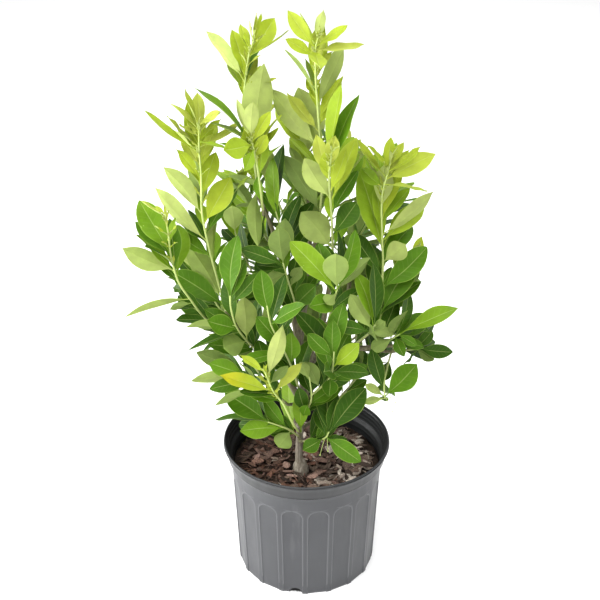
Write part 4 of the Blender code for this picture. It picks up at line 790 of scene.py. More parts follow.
def wood_routes():
    """The trunk and its branches as (route, radii)."""
    ground = TRUNK_FOOT + Vector((0, 0, TRUNK_SUNK))
    rise = [ground + Vector((0, 0, TRUNK_NECK))] + [place(*spot) for spot in TRUNK_ROUTE]
    trunk = [TRUNK_FOOT, ground] + smooth_route(rise, 1)
    girths = [TRUNK_RADIUS, TRUNK_RADIUS, TRUNK_NECK_RADIUS] + [TRUNK_TOP_RADIUS] * (len(trunk) - 3)
    wood = [(trunk, girths)]
    for spots in BRANCH_ROUTES:
        route = smooth_route([place(*spot) for spot in spots], 1)
        wood.append((route, taper(route, BRANCH_RADIUS * 1.35, BRANCH_RADIUS * 0.72)))
    return wood


def back_routes():
    """Routes of the shoots that grow by rule."""
    routes = []
    chance = random.Random(BACK_SEED)
    for tier in BACK_TIERS:
        for index in range(tier.count):
            reach = tier.reach * chance.uniform(0.9, 1.05)
            out = around(math.radians(tier.first + tier.turn * index), 1.0, 0.0)
            tip = BACK_MIDDLE + out * reach + Vector((0, 0, tier.height + chance.uniform(-0.02, 0.02)))
            lower = [
                BACK_MIDDLE + out * (reach * share) + Vector((0, 0, tip.z - drop))
                for share, drop in (BACK_BUTT, BACK_ELBOW)
            ]
            routes.append(smooth_route([*lower, tip], 2))
    return routes


def wood_spurs(wood, routes):
    """A spur from the nearest wood to each shoot's butt, ending flat in front of it."""
    spurs = []
    spots = [spot for branch, _ in wood for spot in branch[2:]]
    for route in routes:
        butt = route[0]
        along = heading(route, 0)
        nearest = min(spots, key=lambda spot: (spot - butt).length + DROP_COST * max(0.0, spot.z - butt.z))
        gap = (nearest - butt).length
        if gap < SPUR_LEAST:
            nearest = butt - along * SPUR_STUB
        spur = [nearest, butt - along * min(SPUR_LEAD, gap * 0.4), butt]
        spurs.append((spur, taper(spur, SPUR_RADIUS * 1.25, SPUR_RADIUS)))
    return spurs


def stem_of(route):
    """The green stem's route and radii, clear of the wood behind it."""
    stem = list(route)
    stem[0] = stem[0] + heading(route, 0) * BUTT_GAP
    return stem, taper(stem, STEM_RADIUS, STEM_TIP)


def grow_seen(crowd, fine):
    """The leaves that the front view shows, the nearest first."""
    seen = [(shoot.name, read_leaf(row, fine[shoot.name])) for shoot in FRONT_SHOOTS for row in shoot.leaves]
    for name, leaf in sorted(seen, key=lambda item: distance(item[1].root)):
        crowd.settle(name, leaf, False)


def grow_filling(crowd, fine, chance):
    """A few leaves by rule on the front shoots, turned away from the eye."""
    for shoot in FRONT_SHOOTS:
        for count in range(shoot.filling):
            share = 0.25 + 0.7 * (count + 0.5) / shoot.filling
            turn = count * GOLDEN_TURN + chance.uniform(-0.3, 0.3)
            opening = math.radians(chance.uniform(28, 55))
            length = LEAF_LENGTH * chance.uniform(0.75, 1.0)
            leaf = rule_leaf(fine[shoot.name], share, turn, opening, length, 0.2, chance)
            if leaf.way.dot(FORWARD) < 0.1:
                leaf = rule_leaf(fine[shoot.name], share, turn + math.pi, opening, length, 0.2, chance)
            crowd.settle(shoot.name, leaf, True)


def grow_back(crowd, fine, chance):
    """The leaves of the back shoots, smaller and younger towards the tips."""
    for index, name in enumerate(list(fine)[len(FRONT_SHOOTS) :]):
        for count in range(BACK_LEAVES):
            share = 0.18 + 0.82 * (count / (BACK_LEAVES - 1)) ** 0.8
            opening = math.radians(64 - 38 * share + chance.uniform(-8, 8))
            length = LEAF_LENGTH * chance.uniform(0.8, 1.12) * (1.08 - 0.25 * share)
            youth = max(0.0, share - 0.45) * chance.uniform(0.4, 1.4)
            youth = min(1.0, youth + 0.5 * max(0.0, (fine[name][-1].z - 0.55) / 0.2))
            turn = count * GOLDEN_TURN + index
            crowd.settle(name, rule_leaf(fine[name], share, turn, opening, length, youth, chance), True)


def layout():
    """The wood, its spurs, the shoots' routes, coarse and fine, and the crowd that grows on them."""
    wood = wood_routes()
    routes = {shoot.name: [place(*spot) for spot in shoot.route] for shoot in FRONT_SHOOTS}
    for number, route in enumerate(back_routes(), 1):
        routes[f"shoot_back_{number:02d}"] = route
    fine = {name: divided(route, FINE_STEPS) for name, route in routes.items()}
    spurs = wood_spurs(wood, routes.values())
    crowd = Crowd(routes)
    for route, radii in wood + spurs:
        crowd.add_stem("trunk", route, radii, 6)
    for name, route in routes.items():
        crowd.add_stem(name, *stem_of(route), 4)
    grow_seen(crowd, fine)
    crowd.show()
    chance = random.Random(LEAF_SEED)
    grow_filling(crowd, fine, chance)
    grow_back(crowd, fine, chance)
    return wood, spurs, routes, fine, crowd


# Materials


class Look:
    """A procedural material and short ways to add to its nodes."""

    def __init__(self, name):
        self.material = bpy.data.materials.new(name)
        self.material.use_nodes = True
        self.nodes = self.material.node_tree.nodes
        self.links = self.material.node_tree.links
        self.shader = self.nodes["Principled BSDF"]
        self.output = self.nodes["Material Output"]

    def put(self, value, socket):
        """Set a socket, or link another one to it."""
        if isinstance(value, bpy.types.NodeSocket):
            self.links.new(value, socket)
        elif isinstance(value, tuple) and len(value) == 3 and socket.type == "RGBA":
            socket.default_value = (*value, 1.0)
        else:
            socket.default_value = value

    def surface(self, colour, roughness, specular):
        """The shader's colour, roughness and specular level."""
        self.put(colour, self.shader.inputs["Base Color"])
        self.put(roughness, self.shader.inputs["Roughness"])
        self.put(specular, self.shader.inputs["Specular IOR Level"])

    def calc(self, operation, first, second=0.0, third=None, clamp=False):
        """A Math node."""
        node = self.nodes.new("ShaderNodeMath")
        node.operation = operation
        node.use_clamp = clamp
        for value, socket in zip((first, second, third), node.inputs):
            if value is not None:
                self.put(value, socket)
        return node.outputs[0]

    def times(self, first, second):
        """The product of two values."""
        return self.calc("MULTIPLY", first, second)

    def strayed(self, value, noise, amount, clamp=False):
        """A value that a noise moves up and down."""
        return self.calc("MULTIPLY_ADD", self.calc("SUBTRACT", noise, 0.5), amount, value, clamp)

    def mix(self, share, first, second, blend="MIX"):
        """A colour Mix node."""
        node = self.nodes.new("ShaderNodeMix")
        node.data_type = "RGBA"
        node.blend_type = blend
        self.put(share, node.inputs[0])
        self.put(first, node.inputs[6])
        self.put(second, node.inputs[7])
        return node.outputs[2]

    def colour(self, red, green, blue):
        """A colour from three values."""
        node = self.nodes.new("ShaderNodeCombineColor")
        for value, socket in zip((red, green, blue), node.inputs):
            self.put(value, socket)
        return node.outputs[0]

    def dimmed(self, colour, light):
        """A colour that a value makes lighter or darker."""
        return self.mix(1.0, colour, self.colour(light, light, light), "MULTIPLY")

    def ramp(self, share, stops):
        """A colour ramp through (position, colour) stops."""
        node = self.nodes.new("ShaderNodeValToRGB")
        ramp = node.color_ramp
        while len(ramp.elements) < len(stops):
            ramp.elements.new(0.5)
        for element, (position, colour) in zip(ramp.elements, stops):
            element.position = position
            element.color = (*colour, 1.0)
        self.put(share, node.inputs[0])
        return node.outputs[0]

    def between(self, value, low, high, start=0.0, stop=1.0):
        """A smooth step: start below low, stop above high."""
        node = self.nodes.new("ShaderNodeMapRange")
        node.interpolation_type = "SMOOTHSTEP"
        self.put(value, node.inputs["Value"])
        for name, number in (("From Min", low), ("From Max", high), ("To Min", start), ("To Max", stop)):
            node.inputs[name].default_value = number
        return node.outputs["Result"]

    def noise(self, scale, detail, roughness=0.55, upright=1.0):
        """A noise over the piece, in metres; upright stretches it along z."""
        source = self.nodes.new("ShaderNodeTexCoord")
        mapping = self.nodes.new("ShaderNodeMapping")
        mapping.inputs["Scale"].default_value = (1.0, 1.0, upright)
        self.links.new(source.outputs["Object"], mapping.inputs["Vector"])
        node = self.nodes.new("ShaderNodeTexNoise")
        node.inputs["Scale"].default_value = scale
        node.inputs["Detail"].default_value = detail
        node.inputs["Roughness"].default_value = roughness
        self.links.new(mapping.outputs["Vector"], node.inputs["Vector"])
        return node.outputs["Fac"]

    def attribute(self, name):
        """The red, green and blue of a colour attribute."""
        node = self.nodes.new("ShaderNodeAttribute")
        node.attribute_name = name
        split = self.nodes.new("ShaderNodeSeparateColor")
        self.links.new(node.outputs["Color"], split.inputs[0])
        return split.outputs[:3]

    def bump(self, height, distance, strength):
        """Bump the shader by a height."""
        node = self.nodes.new("ShaderNodeBump")
        node.inputs["Strength"].default_value = strength
        node.inputs["Distance"].default_value = distance
        self.links.new(height, node.inputs["Height"])
        self.links.new(node.outputs["Normal"], self.shader.inputs["Normal"])
        return node.outputs["Normal"]


# A leaf's colours from its oldest to its youngest
UPPER_STOPS = (
    (0.00, (0.030, 0.084, 0.003)), (0.25, (0.092, 0.215, 0.007)), (0.50, (0.235, 0.365, 0.018)),
    (0.75, (0.335, 0.420, 0.026)), (0.90, (0.370, 0.462, 0.034)), (1.00, (0.380, 0.432, 0.060)),
)
UNDER_STOPS = (
    (0.00, (0.180, 0.260, 0.060)), (0.35, (0.305, 0.410, 0.110)), (0.70, (0.435, 0.510, 0.155)),
    (1.00, (0.525, 0.595, 0.205)),
)
RIB_COLOUR = (0.540, 0.640, 0.200)
EDGE_COLOUR = (0.460, 0.600, 0.120)
YELLOWING = (0.520, 0.450, 0.012)
YELLOW_SHARE = 0.7
SIDE_VEINS = 9.0

# What differs between the two sides of a leaf: the shares and heights of its ribs and veins,
# its range of roughness, its specular level, and the tint and share of the light through it
Side = namedtuple("Side", "name stops rib gloss specular rib_relief vein_relief through glow")
UPPER_SIDE = Side(
    "leaf_upper_side", UPPER_STOPS, 0.30, (0.42, 0.56), 0.13, -0.8, -0.15, (1.0, 1.0, 0.45), 0.24
)
UNDER_SIDE = Side(
    "leaf_under_side", UNDER_STOPS, 0.22, (0.55, 0.68), 0.08, 0.8, 0.12, (1.25, 1.25, 0.80), 0.46
)


def leaf_look(side):
    """One side of the leaves, by their youth: ribs, veins, margin, mottling and light through them."""
    look = Look(side.name)
    youth, chance, yellow = look.attribute("leaf_tone")
    source = look.nodes.new("ShaderNodeTexCoord")
    split = look.nodes.new("ShaderNodeSeparateXYZ")
    look.links.new(source.outputs["UV"], split.inputs[0])
    across = look.calc("ABSOLUTE", look.calc("MULTIPLY_ADD", split.outputs[0], 2.0, -1.0))
    along = split.outputs[1]
    mottle = look.noise(65.0, 4.0)
    tone = look.strayed(look.strayed(youth, chance, 0.30), look.noise(14.0, 2.0), 0.14, clamp=True)
    body = look.dimmed(look.ramp(tone, side.stops), look.between(mottle, 0.30, 0.70, 0.92, 1.08))
    rib = look.between(across, 0.020, 0.060, 1.0, 0.0)
    slant = look.calc("MULTIPLY_ADD", look.calc("POWER", across, 0.8), -0.16, along)
    stripe = look.calc("SUBTRACT", look.calc("FRACT", look.times(slant, SIDE_VEINS)), 0.5)
    stripe = look.between(look.calc("ABSOLUTE", stripe), 0.02, 0.13, 1.0, 0.0)
    vein = look.times(stripe, look.between(across, 0.5, 0.95, 1.0, 0.0))
    body = look.mix(look.times(vein, 0.04), body, RIB_COLOUR)
    body = look.mix(look.times(look.between(across, 0.90, 0.975), 0.30), body, EDGE_COLOUR)
    body = look.mix(look.times(rib, side.rib), body, RIB_COLOUR)
    body = look.mix(look.times(yellow, look.between(along, 0.25, 0.95)), body, YELLOWING)
    look.surface(body, look.between(mottle, 0.25, 0.75, *side.gloss), side.specular)
    relief = look.calc("MULTIPLY_ADD", rib, side.rib_relief, look.times(mottle, 0.35))
    relief = look.calc("MULTIPLY_ADD", vein, side.vein_relief, relief)
    normal = look.bump(relief, 0.0005, 0.7)
    glow = look.nodes.new("ShaderNodeBsdfTranslucent")
    look.put(look.mix(1.0, body, side.through, "MULTIPLY"), glow.inputs["Color"])
    look.links.new(normal, glow.inputs["Normal"])
    blend = look.nodes.new("ShaderNodeMixShader")
    blend.inputs[0].default_value = side.glow
    look.links.new(look.shader.outputs[0], blend.inputs[1])
    look.links.new(glow.outputs[0], blend.inputs[2])
    look.links.new(blend.outputs[0], look.output.inputs["Surface"])
    return look.material


def stem_look():
    """A green stem, woody where it is old."""
    look = Look("green_stem")
    youth = look.attribute("leaf_tone")[0]
    streak = look.noise(420.0, 4.0, upright=0.25)
    stops = ((0.0, (0.190, 0.200, 0.075)), (0.4, (0.310, 0.380, 0.105)), (1.0, (0.500, 0.620, 0.170)))
    look.surface(look.ramp(look.strayed(youth, streak, 0.35, clamp=True), stops), 0.5, 0.5)
    look.bump(streak, 0.0004, 0.6)
    return look.material


def bark_look():
    """Pale grey brown bark, streaked along the trunk, greener on the thin branches."""
    look = Look("trunk_bark")
    green = look.attribute("bark_tone")[0]
    streak = look.noise(330.0, 6.0, 0.65, upright=0.12)
    patch = look.noise(60.0, 3.0)
    stops = ((0.30, (0.090, 0.070, 0.050)), (0.48, (0.210, 0.180, 0.140)), (0.66, (0.360, 0.325, 0.270)))
    bark = look.ramp(streak, stops)
    bark = look.mix(look.between(patch, 0.50, 0.72, 0.0, 0.5), bark, (0.125, 0.105, 0.062))
    twig = look.ramp(streak, ((0.30, (0.085, 0.080, 0.038)), (0.70, (0.190, 0.180, 0.090))))
    look.surface(look.mix(green, bark, twig), 0.88, 0.25)
    look.bump(streak, 0.0016, 0.9)
    return look.material


def pot_look(name, specular):
    """Charcoal grey moulded plastic, dusty outside, with painted shade inside and on the rim band, and
    painted highlights on the panel edges.
    """
    look = Look(name)
    inside, shadow, edge_highlight_and_wear = look.attribute("pot_tone")
    scuff = look.noise(70.0, 5.0, upright=0.2)
    stops = ((0.30, (0.029, 0.030, 0.034)), (0.70, (0.040, 0.042, 0.046)))
    outer = look.ramp(look.noise(9.0, 4.0), stops)
    outer = look.mix(look.times(look.between(scuff, 0.56, 0.78), 0.08), outer, (0.27, 0.27, 0.27))
    outer = look.mix(shadow, outer, (0.006, 0.0065, 0.007))
    # Painted highlights on the panel edges and arch tops, and a lighter worn edge at the foot
    outer = look.mix(look.times(edge_highlight_and_wear, 0.30), outer, (0.200, 0.203, 0.210))
    rough = look.calc("MULTIPLY_ADD", inside, 0.06, look.between(scuff, 0.3, 0.8, 0.38, 0.52))
    # Painted shade: the inner wall and the floor of the pot are near black
    look.surface(look.mix(inside, outer, (0.007, 0.008, 0.008)), rough, specular)
    look.bump(look.noise(900.0, 2.0), 0.00012, 0.35)
    return look.material


def mulch_look():
    """Bark chips, each with its own colour, and the dark soil between them."""
    look = Look("bark_chips")
    fibre = look.noise(520.0, 5.0, 0.65)
    chip = look.colour(*look.attribute("chip_tone"))
    look.surface(look.dimmed(chip, look.between(fibre, 0.28, 0.72, 0.31, 1.22)), 0.92, 0.2)
    look.bump(fibre, 0.0007, 0.8)
    return look.material


# Fine meshes


def add_object(name, data):
    """A new object in the scene."""
    thing = bpy.data.objects.new(name, data)
    bpy.context.scene.collection.objects.link(thing)
    return thing


class Builder:
    """Points, faces, UVs, tones and material numbers of one fine piece."""

    def __init__(self, name, tone_name, materials):
        self.name = name
        self.tone_name = tone_name
        self.materials = materials
        self.points = []
        self.faces = []
        self.uvs = []
        self.tones = []
        self.slots = []
        self.count = 0

    def add(self, points, faces, tones, uvs=(0.0, 0.0), slots=0):
        """Add a patch; a tone, a UV or a material number may be one for all of it."""
        size = len(points)
        self.points.append(np.asarray(points, float))
        self.faces += [tuple(corner + self.count for corner in face) for face in faces]
        self.tones.append(np.broadcast_to(np.asarray(tones, float), (size, 3)))
        self.uvs.append(np.broadcast_to(np.asarray(uvs, float), (size, 2)))
        self.slots += np.broadcast_to(slots, len(faces)).tolist()
        self.count += size

    def build(self, node, crease=50.0):
        """Make the piece, ride it on the body and let it stand for its node."""
        mesh = bpy.data.meshes.new(self.name)
        mesh.from_pydata(np.concatenate(self.points).tolist(), [], self.faces)
        for material in self.materials:
            mesh.materials.append(material)
        mesh.polygons.foreach_set("material_index", self.slots)
        corners = np.empty(len(mesh.loops), int)
        mesh.loops.foreach_get("vertex_index", corners)
        layer = mesh.uv_layers.new(name="UVMap")
        layer.data.foreach_set("uv", np.concatenate(self.uvs)[corners].ravel())
        tone = mesh.color_attributes.new(self.tone_name, "FLOAT_COLOR", "POINT")
        tone.data.foreach_set("color", np.insert(np.concatenate(self.tones), 3, 1.0, axis=1).ravel())
        mesh.shade_smooth()
        mesh.set_sharp_from_angle(angle=math.radians(crease))
        piece = add_object(self.name, mesh)
        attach(piece, "root")
        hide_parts(node)
        return piece


def fine_tube(route, radii, sides, wobble=0.0, seed=0):
    """The points and faces of a fine tube with a rounded tip, and each point's share of its length."""
    points = np.array(tube(route, radii, sides)[0])
    along = np.repeat(np.linspace(0.0, 1.0, len(route)), sides)
    last = len(points) - sides
    faces = grid_faces(len(route), sides) + fan_faces(last, sides, len(points))
    faces.append(tuple(reversed(range(sides))))
    if wobble:
        lobes = np.random.default_rng(seed).uniform(0, 2 * math.pi, 3)
        angle = np.tile(np.arange(sides) / sides, len(route)) * 2 * math.pi
        middles = np.repeat(np.array(route), sides, axis=0)
        swell = sum(np.sin(angle * (k + 2) + along * (5 + 3 * k) + lobes[k]) / (k + 1) for k in range(3))
        points = middles + (points - middles) * (1.0 + wobble * swell)[:, None]
    tip = route[-1] + heading(route, len(route) - 1) * (radii[-1] * 0.6)
    return np.vstack([points, np.array(tip)]), faces, np.append(along, 1.0)


# Fine leaves

# The rows run from the root to the tip, the columns from edge to edge
BLADE_ROWS = np.array([0.0, 0.04, 0.10, 0.18, 0.28, 0.39, 0.50, 0.61, 0.71, 0.80, 0.875, 0.935, 0.975, 1.0])
LEAF_ROWS = np.concatenate([[0.0, PETIOLE * 0.55], PETIOLE + (1 - PETIOLE) * BLADE_ROWS])
BLADE = np.clip((LEAF_ROWS - PETIOLE) / (1 - PETIOLE), 0, 1)
STALK = np.clip(1 - BLADE * 9, 0, 1)[:, None]
COLUMNS = np.array([-1.0, -0.84, -0.58, -0.30, -0.08, 0.0, 0.08, 0.30, 0.58, 0.84, 1.0])
SHEET = 0.00022
STALK_THICK = 0.0007
GROOVE = 0.00028
TIP_HALF = 0.0002
LEAF_UV = np.stack(np.meshgrid((COLUMNS + 1) / 2, BLADE), axis=-1).reshape(-1, 2)


def average_youth(leaves):
    """The mean youth of some leaves."""
    return sum(leaf.youth for leaf in leaves) / len(leaves)


def half_widths(leaf, chance):
    """Half the leaf's width at each row: pointed, and more so when young."""
    half = leaf.width * chance.uniform(1.03, 1.14) / 2
    power = 1.0 + (chance.uniform(0.50, 0.70) - 1.0) * np.clip(BLADE * 1.6, 0, 1)
    power += (0.12 + 0.34 * leaf.youth) * np.clip((BLADE - 0.72) / 0.28, 0, 1)
    shape = np.sin(math.pi * BLADE ** chance.uniform(1.00, 1.26)) ** power
    return np.maximum(half * np.where(BLADE > 0, shape, 0), np.where(BLADE < 0.5, STALK_HALF, TIP_HALF))


def edge_waves(chance):
    """The gentle waves of a leaf's edges."""
    wave = chance.uniform(0.0003, 0.0011) * (BLADE > 0)
    turns = LEAF_ROWS * (chance.uniform(2.0, 4.5) * math.pi)
    phase = chance.uniform(0, 2 * math.pi)
    even = np.outer(np.sin(turns + phase) * wave, COLUMNS**2)
    return even + np.outer(np.sin(turns * 1.3 + phase * 1.7) * wave, COLUMNS**3)


def leaf_faces():
    """The faces of a leaf's upper sheet, under sheet and rim, and their materials."""
    rows, columns = len(LEAF_ROWS), len(COLUMNS)
    size = rows * columns
    upper = grid_faces(rows, columns, closed=False)
    under = grid_faces(rows, columns, size, flip=True, closed=False)
    rim = []
    for near in range(0, size - columns, columns):
        rim.append((near, near + columns, near + columns + size, near + size))
    for near in range(columns - 1, size - columns, columns):
        rim.append((near + size, near + columns + size, near + columns, near))
    return upper + under + rim, [0] * len(upper) + [1] * len(under) + [0] * len(rim)


LEAF_FACES, LEAF_SLOTS = leaf_faces()


def fine_leaf(builder, leaf, chance, yellow=0.0):
    """One thin, veined, slightly waved leaf on its stalk, where its solid is."""
    width = half_widths(leaf, chance)
    curl = chance.uniform(-0.02, 0.05) if leaf.youth < 0.6 else chance.uniform(-0.05, 0.02)
    fold = chance.uniform(0.10, 0.26) + 0.12 * leaf.youth * chance.uniform(0, 1)
    bend = chance.uniform(-0.03, 0.03)
    twist = chance.uniform(-0.30, 0.30) * BLADE
    way, up = np.array(leaf.way), np.array(leaf.up)
    side = np.cross(way, up)
    rise = leaf.length * (leaf.bow * 4 * LEAF_ROWS * (1 - LEAF_ROWS) - curl * LEAF_ROWS**3)
    sway = leaf.length * bend * np.sin(math.pi * LEAF_ROWS) * np.clip(BLADE * 3, 0, 1)
    spine = np.outer(LEAF_ROWS * leaf.length, way) + np.outer(rise, up) + np.outer(sway, side)
    across = np.outer(np.cos(twist), side) + np.outer(np.sin(twist), up)
    facing = np.outer(np.cos(twist), up) - np.outer(np.sin(twist), side)
    height = np.outer(width * fold, np.abs(COLUMNS) ** 1.35 - 0.45) + edge_waves(chance)
    groove = GROOVE * np.exp(-((COLUMNS / 0.10) ** 2)) * (1 - STALK)
    thick = (SHEET + (STALK_THICK - SHEET) * STALK) * (1 - 0.55 * np.abs(COLUMNS) ** 3)
    base = np.array(leaf.root) + spine[:, None] + np.outer(width, COLUMNS)[:, :, None] * across[:, None]
    levels = (height - groove + thick, height - 1.6 * groove - thick)
    sheets = [(base + level[:, :, None] * facing[:, None]).reshape(-1, 3) for level in levels]
    youth = leaf.youth + 0.14 * (eased((leaf.root.z - 0.42) / 0.36) - 0.6)
    tone = (min(1.0, max(0.0, youth)), chance.uniform(0, 1), yellow)
    builder.add(np.vstack(sheets), LEAF_FACES, tone, np.vstack([LEAF_UV, LEAF_UV]), LEAF_SLOTS)


# Small growth, which is only in the fine model

# Stalks with a bud: (shoot, root x, root y, tip x, tip y, depth) as the front view shows them
FLOWER_STALKS = (
    ("tuft_low_right", 385, 398, 396, 403, -0.040), ("tuft_low_right", 386, 399, 393, 412, -0.040),
    ("tuft_low_right", 384, 392, 391, 398, -0.040), ("sprout_low_right", 325, 438, 320, 455, -0.072),
    ("sprout_low_right", 327, 435, 328, 451, -0.073), ("tuft_trunk", 311, 397, 318, 388, -0.063),
)
STALK_RADIUS = 0.0005
BUD_RADIUS = 0.0013

# Unfolding leaves: so many at a shoot's tip and in each of its axils, at shares of its length
TIP_BUDS = 6
AXIL_BUDS = 3
AXILS = (0.62, 0.73, 0.84)


def add_flower_stalk(builder, root_x, root_y, tip_x, tip_y, depth):
    """A thin stalk with a round bud at its end."""
    root, tip = place(root_x, root_y, depth), place(tip_x, tip_y, depth - 0.004)
    middle = root.lerp(tip, 0.5) + Vector((0.0, 0.0, 0.0015))
    route = smooth_route([root, middle, tip], 4)
    points, faces, _ = fine_tube(route, [STALK_RADIUS] * len(route), 6)
    builder.add(points, faces, (0.55, 0.5, 0.0), slots=2)
    way = (tip - middle).normalized()
    steps = np.linspace(-1.0, 1.0, 6)
    bud = [tip + way * (BUD_RADIUS * step) for step in steps]
    points, faces, _ = fine_tube(bud, [BUD_RADIUS * math.sqrt(max(0.06, 1 - step**2)) for step in steps], 8)
    builder.add(points, faces, (0.75, 0.5, 0.0), slots=2)


def bud_leaves(fine, chance):
    """The narrow unfolding leaves of a young shoot: some round its tip, some in its upper axils."""
    found = []
    shares = [chance.uniform(0.92, 1.0) for _ in range(TIP_BUDS)]
    shares += [axil + chance.uniform(0.0, 0.02) for axil in AXILS for _ in range(AXIL_BUDS)]
    for count, share in enumerate(shares):
        opening = math.radians(chance.uniform(8, 38) if count < TIP_BUDS else chance.uniform(22, 55))
        length = chance.uniform(0.012, 0.027)
        turn = count * GOLDEN_TURN + chance.uniform(-0.3, 0.3)
        leaf = rule_leaf(fine, share, turn, opening, length, 1.0, chance)
        leaf = leaf._replace(width=leaf.length * chance.uniform(0.13, 0.24))
        if inside_box(leaf):
            found.append(leaf)
    return found


def make_leafy_shoot(name, route, leaves, extras, materials, seed):
    """A shoot's stem, leaves, filling leaves and small growth as one fine piece."""
    chance = random.Random(seed)
    builder = Builder(name + "_leafage", "leaf_tone", materials)
    fine = smooth_route(stem_of(route)[0], 5)
    points, faces, along = fine_tube(fine, taper(fine, STEM_RADIUS, STEM_TIP * 0.8), 8, 0.05, seed)
    average = average_youth(leaves)
    tones = np.zeros((len(points), 3))
    tones[:, 0] = np.clip(average * 0.6 + along * 0.55 - 0.1, 0, 1)
    builder.add(points, faces, tones, slots=2)
    leftmost = min(leaves, key=lambda leaf: leaf.root.x + leaf.way.x * leaf.length)
    for leaf in leaves + extras:
        yellow = YELLOW_SHARE if name == "shoot_lime" and leaf is leftmost else 0.0
        fine_leaf(builder, leaf, chance, yellow)
    if average > 0.45:
        for leaf in bud_leaves(fine, chance):
            fine_leaf(builder, leaf, chance)
    for shoot, *stalk in FLOWER_STALKS:
        if shoot == name:
            add_flower_stalk(builder, *stalk)
    builder.build(name)


# Filling leaves, which are only in the fine model

# The front view is cut into cells; a pass is (open cells that a leaf must cover, tries)
CELL = 6
FIRST_COLUMN, LAST_COLUMN, LAST_ROW = 100 // CELL, 470 // CELL, 440 // CELL
FILL_PASSES = ((5, 900), (3, 900), (2, 900), (1, 900), (0, 40))
FILL_SHARES = (0.22, 0.42, 0.62, 0.82)
MOST_HIDING = 2
BOX_MARGIN = 0.004

# The leaf in front of the trunk, above the soil, as the front view shows it
TRUNK_SPOT = (301, 432, -0.050)
TRUNK_LEAF = (301, 432, 300, 390, -0.9, 15, 0.45)


def inside_box(leaf):
    """True where the leaf stays in the box of the solids."""
    low, high = solid_box
    for point in (leaf_spine(leaf, 1.0)[0], *leaf_edge(leaf, 0.5)):
        if any(not low[k] - BOX_MARGIN < point[k] < high[k] + BOX_MARGIN for k in range(3)):
            return False
    return True


def open_cells(leaves):
    """The cells of the front view inside the outline that none of the leaves covers."""
    covering = leaf_strips(leaves, 0.14)
    cells = set()
    for column, row in product(range(FIRST_COLUMN, LAST_COLUMN), range(LAST_ROW)):
        ray = sight((column + 0.5) * CELL, (row + 0.5) * CELL)
        if inside_outline(EYE + ray) and not covering.ray_cast(EYE, ray.normalized())[0]:
            cells.add((column, row))
    return cells


def cells_of(leaf):
    """The cells of the front view that the leaf's points are in."""
    spots = [seen_at(point) for point in leaf_spots(leaf, FILL_SHARES)]
    return {(int(spot.x // CELL), int(spot.y // CELL)) for spot in spots}


def filling_leaf(fine, average, chance, turn):
    """A leaf at a chance place on a shoot, paler the higher it grows."""
    share = chance.uniform(0.04, 1.0)
    opening = math.radians(chance.uniform(12, 70))
    length = LEAF_LENGTH * chance.uniform(0.45, 1.15)
    high = eased((fine[int(share * (len(fine) - 1))].z - 0.45) / 0.45)
    youth = min(1.0, 0.36 * average * chance.uniform(0.0, 1.2) * (0.4 + share * 0.6) + 0.8 * high)
    return rule_leaf(fine, share, turn, opening, length, youth, chance)


def filling_leaves(fine, crowd):
    """More leaves on each shoot: first where the view is open, then wherever there is room."""
    chance = random.Random(FILL_SEED)
    extras = {name: [] for name in fine}
    cells = open_cells([leaf for grown in crowd.grown.values() for leaf in grown])
    for least, tries in FILL_PASSES:
        for name, route in fine.items():
            average = average_youth(crowd.grown[name])
            for count in range(tries):
                turn = count * GOLDEN_TURN + chance.uniform(-0.6, 0.6)
                leaf = filling_leaf(route, average, chance, turn)
                covered = cells_of(leaf) & cells
                if len(covered) < least or leaf.way.dot(FORWARD) < -0.2:
                    continue
                free = stays_inside(leaf) and inside_box(leaf)
                free = free and crowd.hiding(leaf, FILL_SHARES) <= MOST_HIDING
                if free and crowd.clear(name, leaf):
                    crowd.add_leaf(name, leaf)
                    extras[name].append(leaf)
                    cells -= covered
    spot = place(*TRUNK_SPOT)
    upward = UPRIGHT * 0.02
    extras["shoot_lime"].append(read_leaf(TRUNK_LEAF, [spot - upward, spot, spot + upward]))
    return extras


# Fine pot

PANEL_HALF = (PANEL_PITCH - RIB_WIDTH / BODY_TOP_RADIUS) / 2
PANEL_COLUMNS = 14
RIB_COLUMNS = 4
PITCH_COLUMNS = PANEL_COLUMNS + 2 + RIB_COLUMNS
ARCH_ROWS = 9
FOOT_ROWS = (0.0, 0.0012, 0.0045, 0.0080, 0.0112, 0.0145, 0.0190)
WALL_ROWS = (0.20, 0.45, 0.70, 0.90, 1.0)

# The rim from the body, out round the flared band and the lip and down inside, as
# (radius, drop below the top); the first RIM_OUTSIDE of them are on its outside
RIM_PROFILE = (
    (0.1274, 0.0345), (0.1284, 0.0325), (0.1298, 0.0312), (0.1298, 0.0304), (0.1278, 0.0298),
    (0.1276, 0.0283), (0.1318, 0.0279), (0.1330, 0.0276), (0.1333, 0.0268), (0.1333, 0.0255),
    (0.1337, 0.0240), (0.1357, 0.0150), (0.1377, 0.0068), (0.1385, 0.0058), (0.1398, 0.0053),
    (0.1400, 0.0045), (0.1394, 0.0038), (0.1383, 0.0034), (0.1382, 0.0028), (0.1391, 0.0022),
    (0.1395, 0.0014), (0.1392, 0.0006), (0.1383, 0.0), (0.1374, 0.0), (0.1367, 0.0005),
    (0.1364, 0.0014), (0.1362, 0.0045), (0.1356, 0.0052), (0.1350, 0.0062), (0.1352, 0.0072),
    (0.1340, 0.0115), (0.1331, 0.0122), (0.1333, 0.0132), (0.1321, 0.0178), (0.1312, 0.0185),
    (0.1314, 0.0195), (0.1303, 0.0240), (0.1290, 0.0265), (0.1262, 0.0285), (0.1252, 0.0305),
)
RIM_OUTSIDE = 22

# The ridges round the inner wall: each is (drop, step out of the wall) down from its top. The
# highest is below the rim band, the lowest under the soil
RIDGE_PROFILE = ((0.0, 0.0), (0.0040, 0.0), (0.0052, -0.0005), (0.0064, 0.0))
RIDGE_STEP = 0.0110
RIDGE_TOP = POT_HEIGHT - RIM_BAND - 0.0045
RIDGE_FOOT = SOIL_EDGE - 0.012
FINE_WALL = POT_WALL - 0.0009

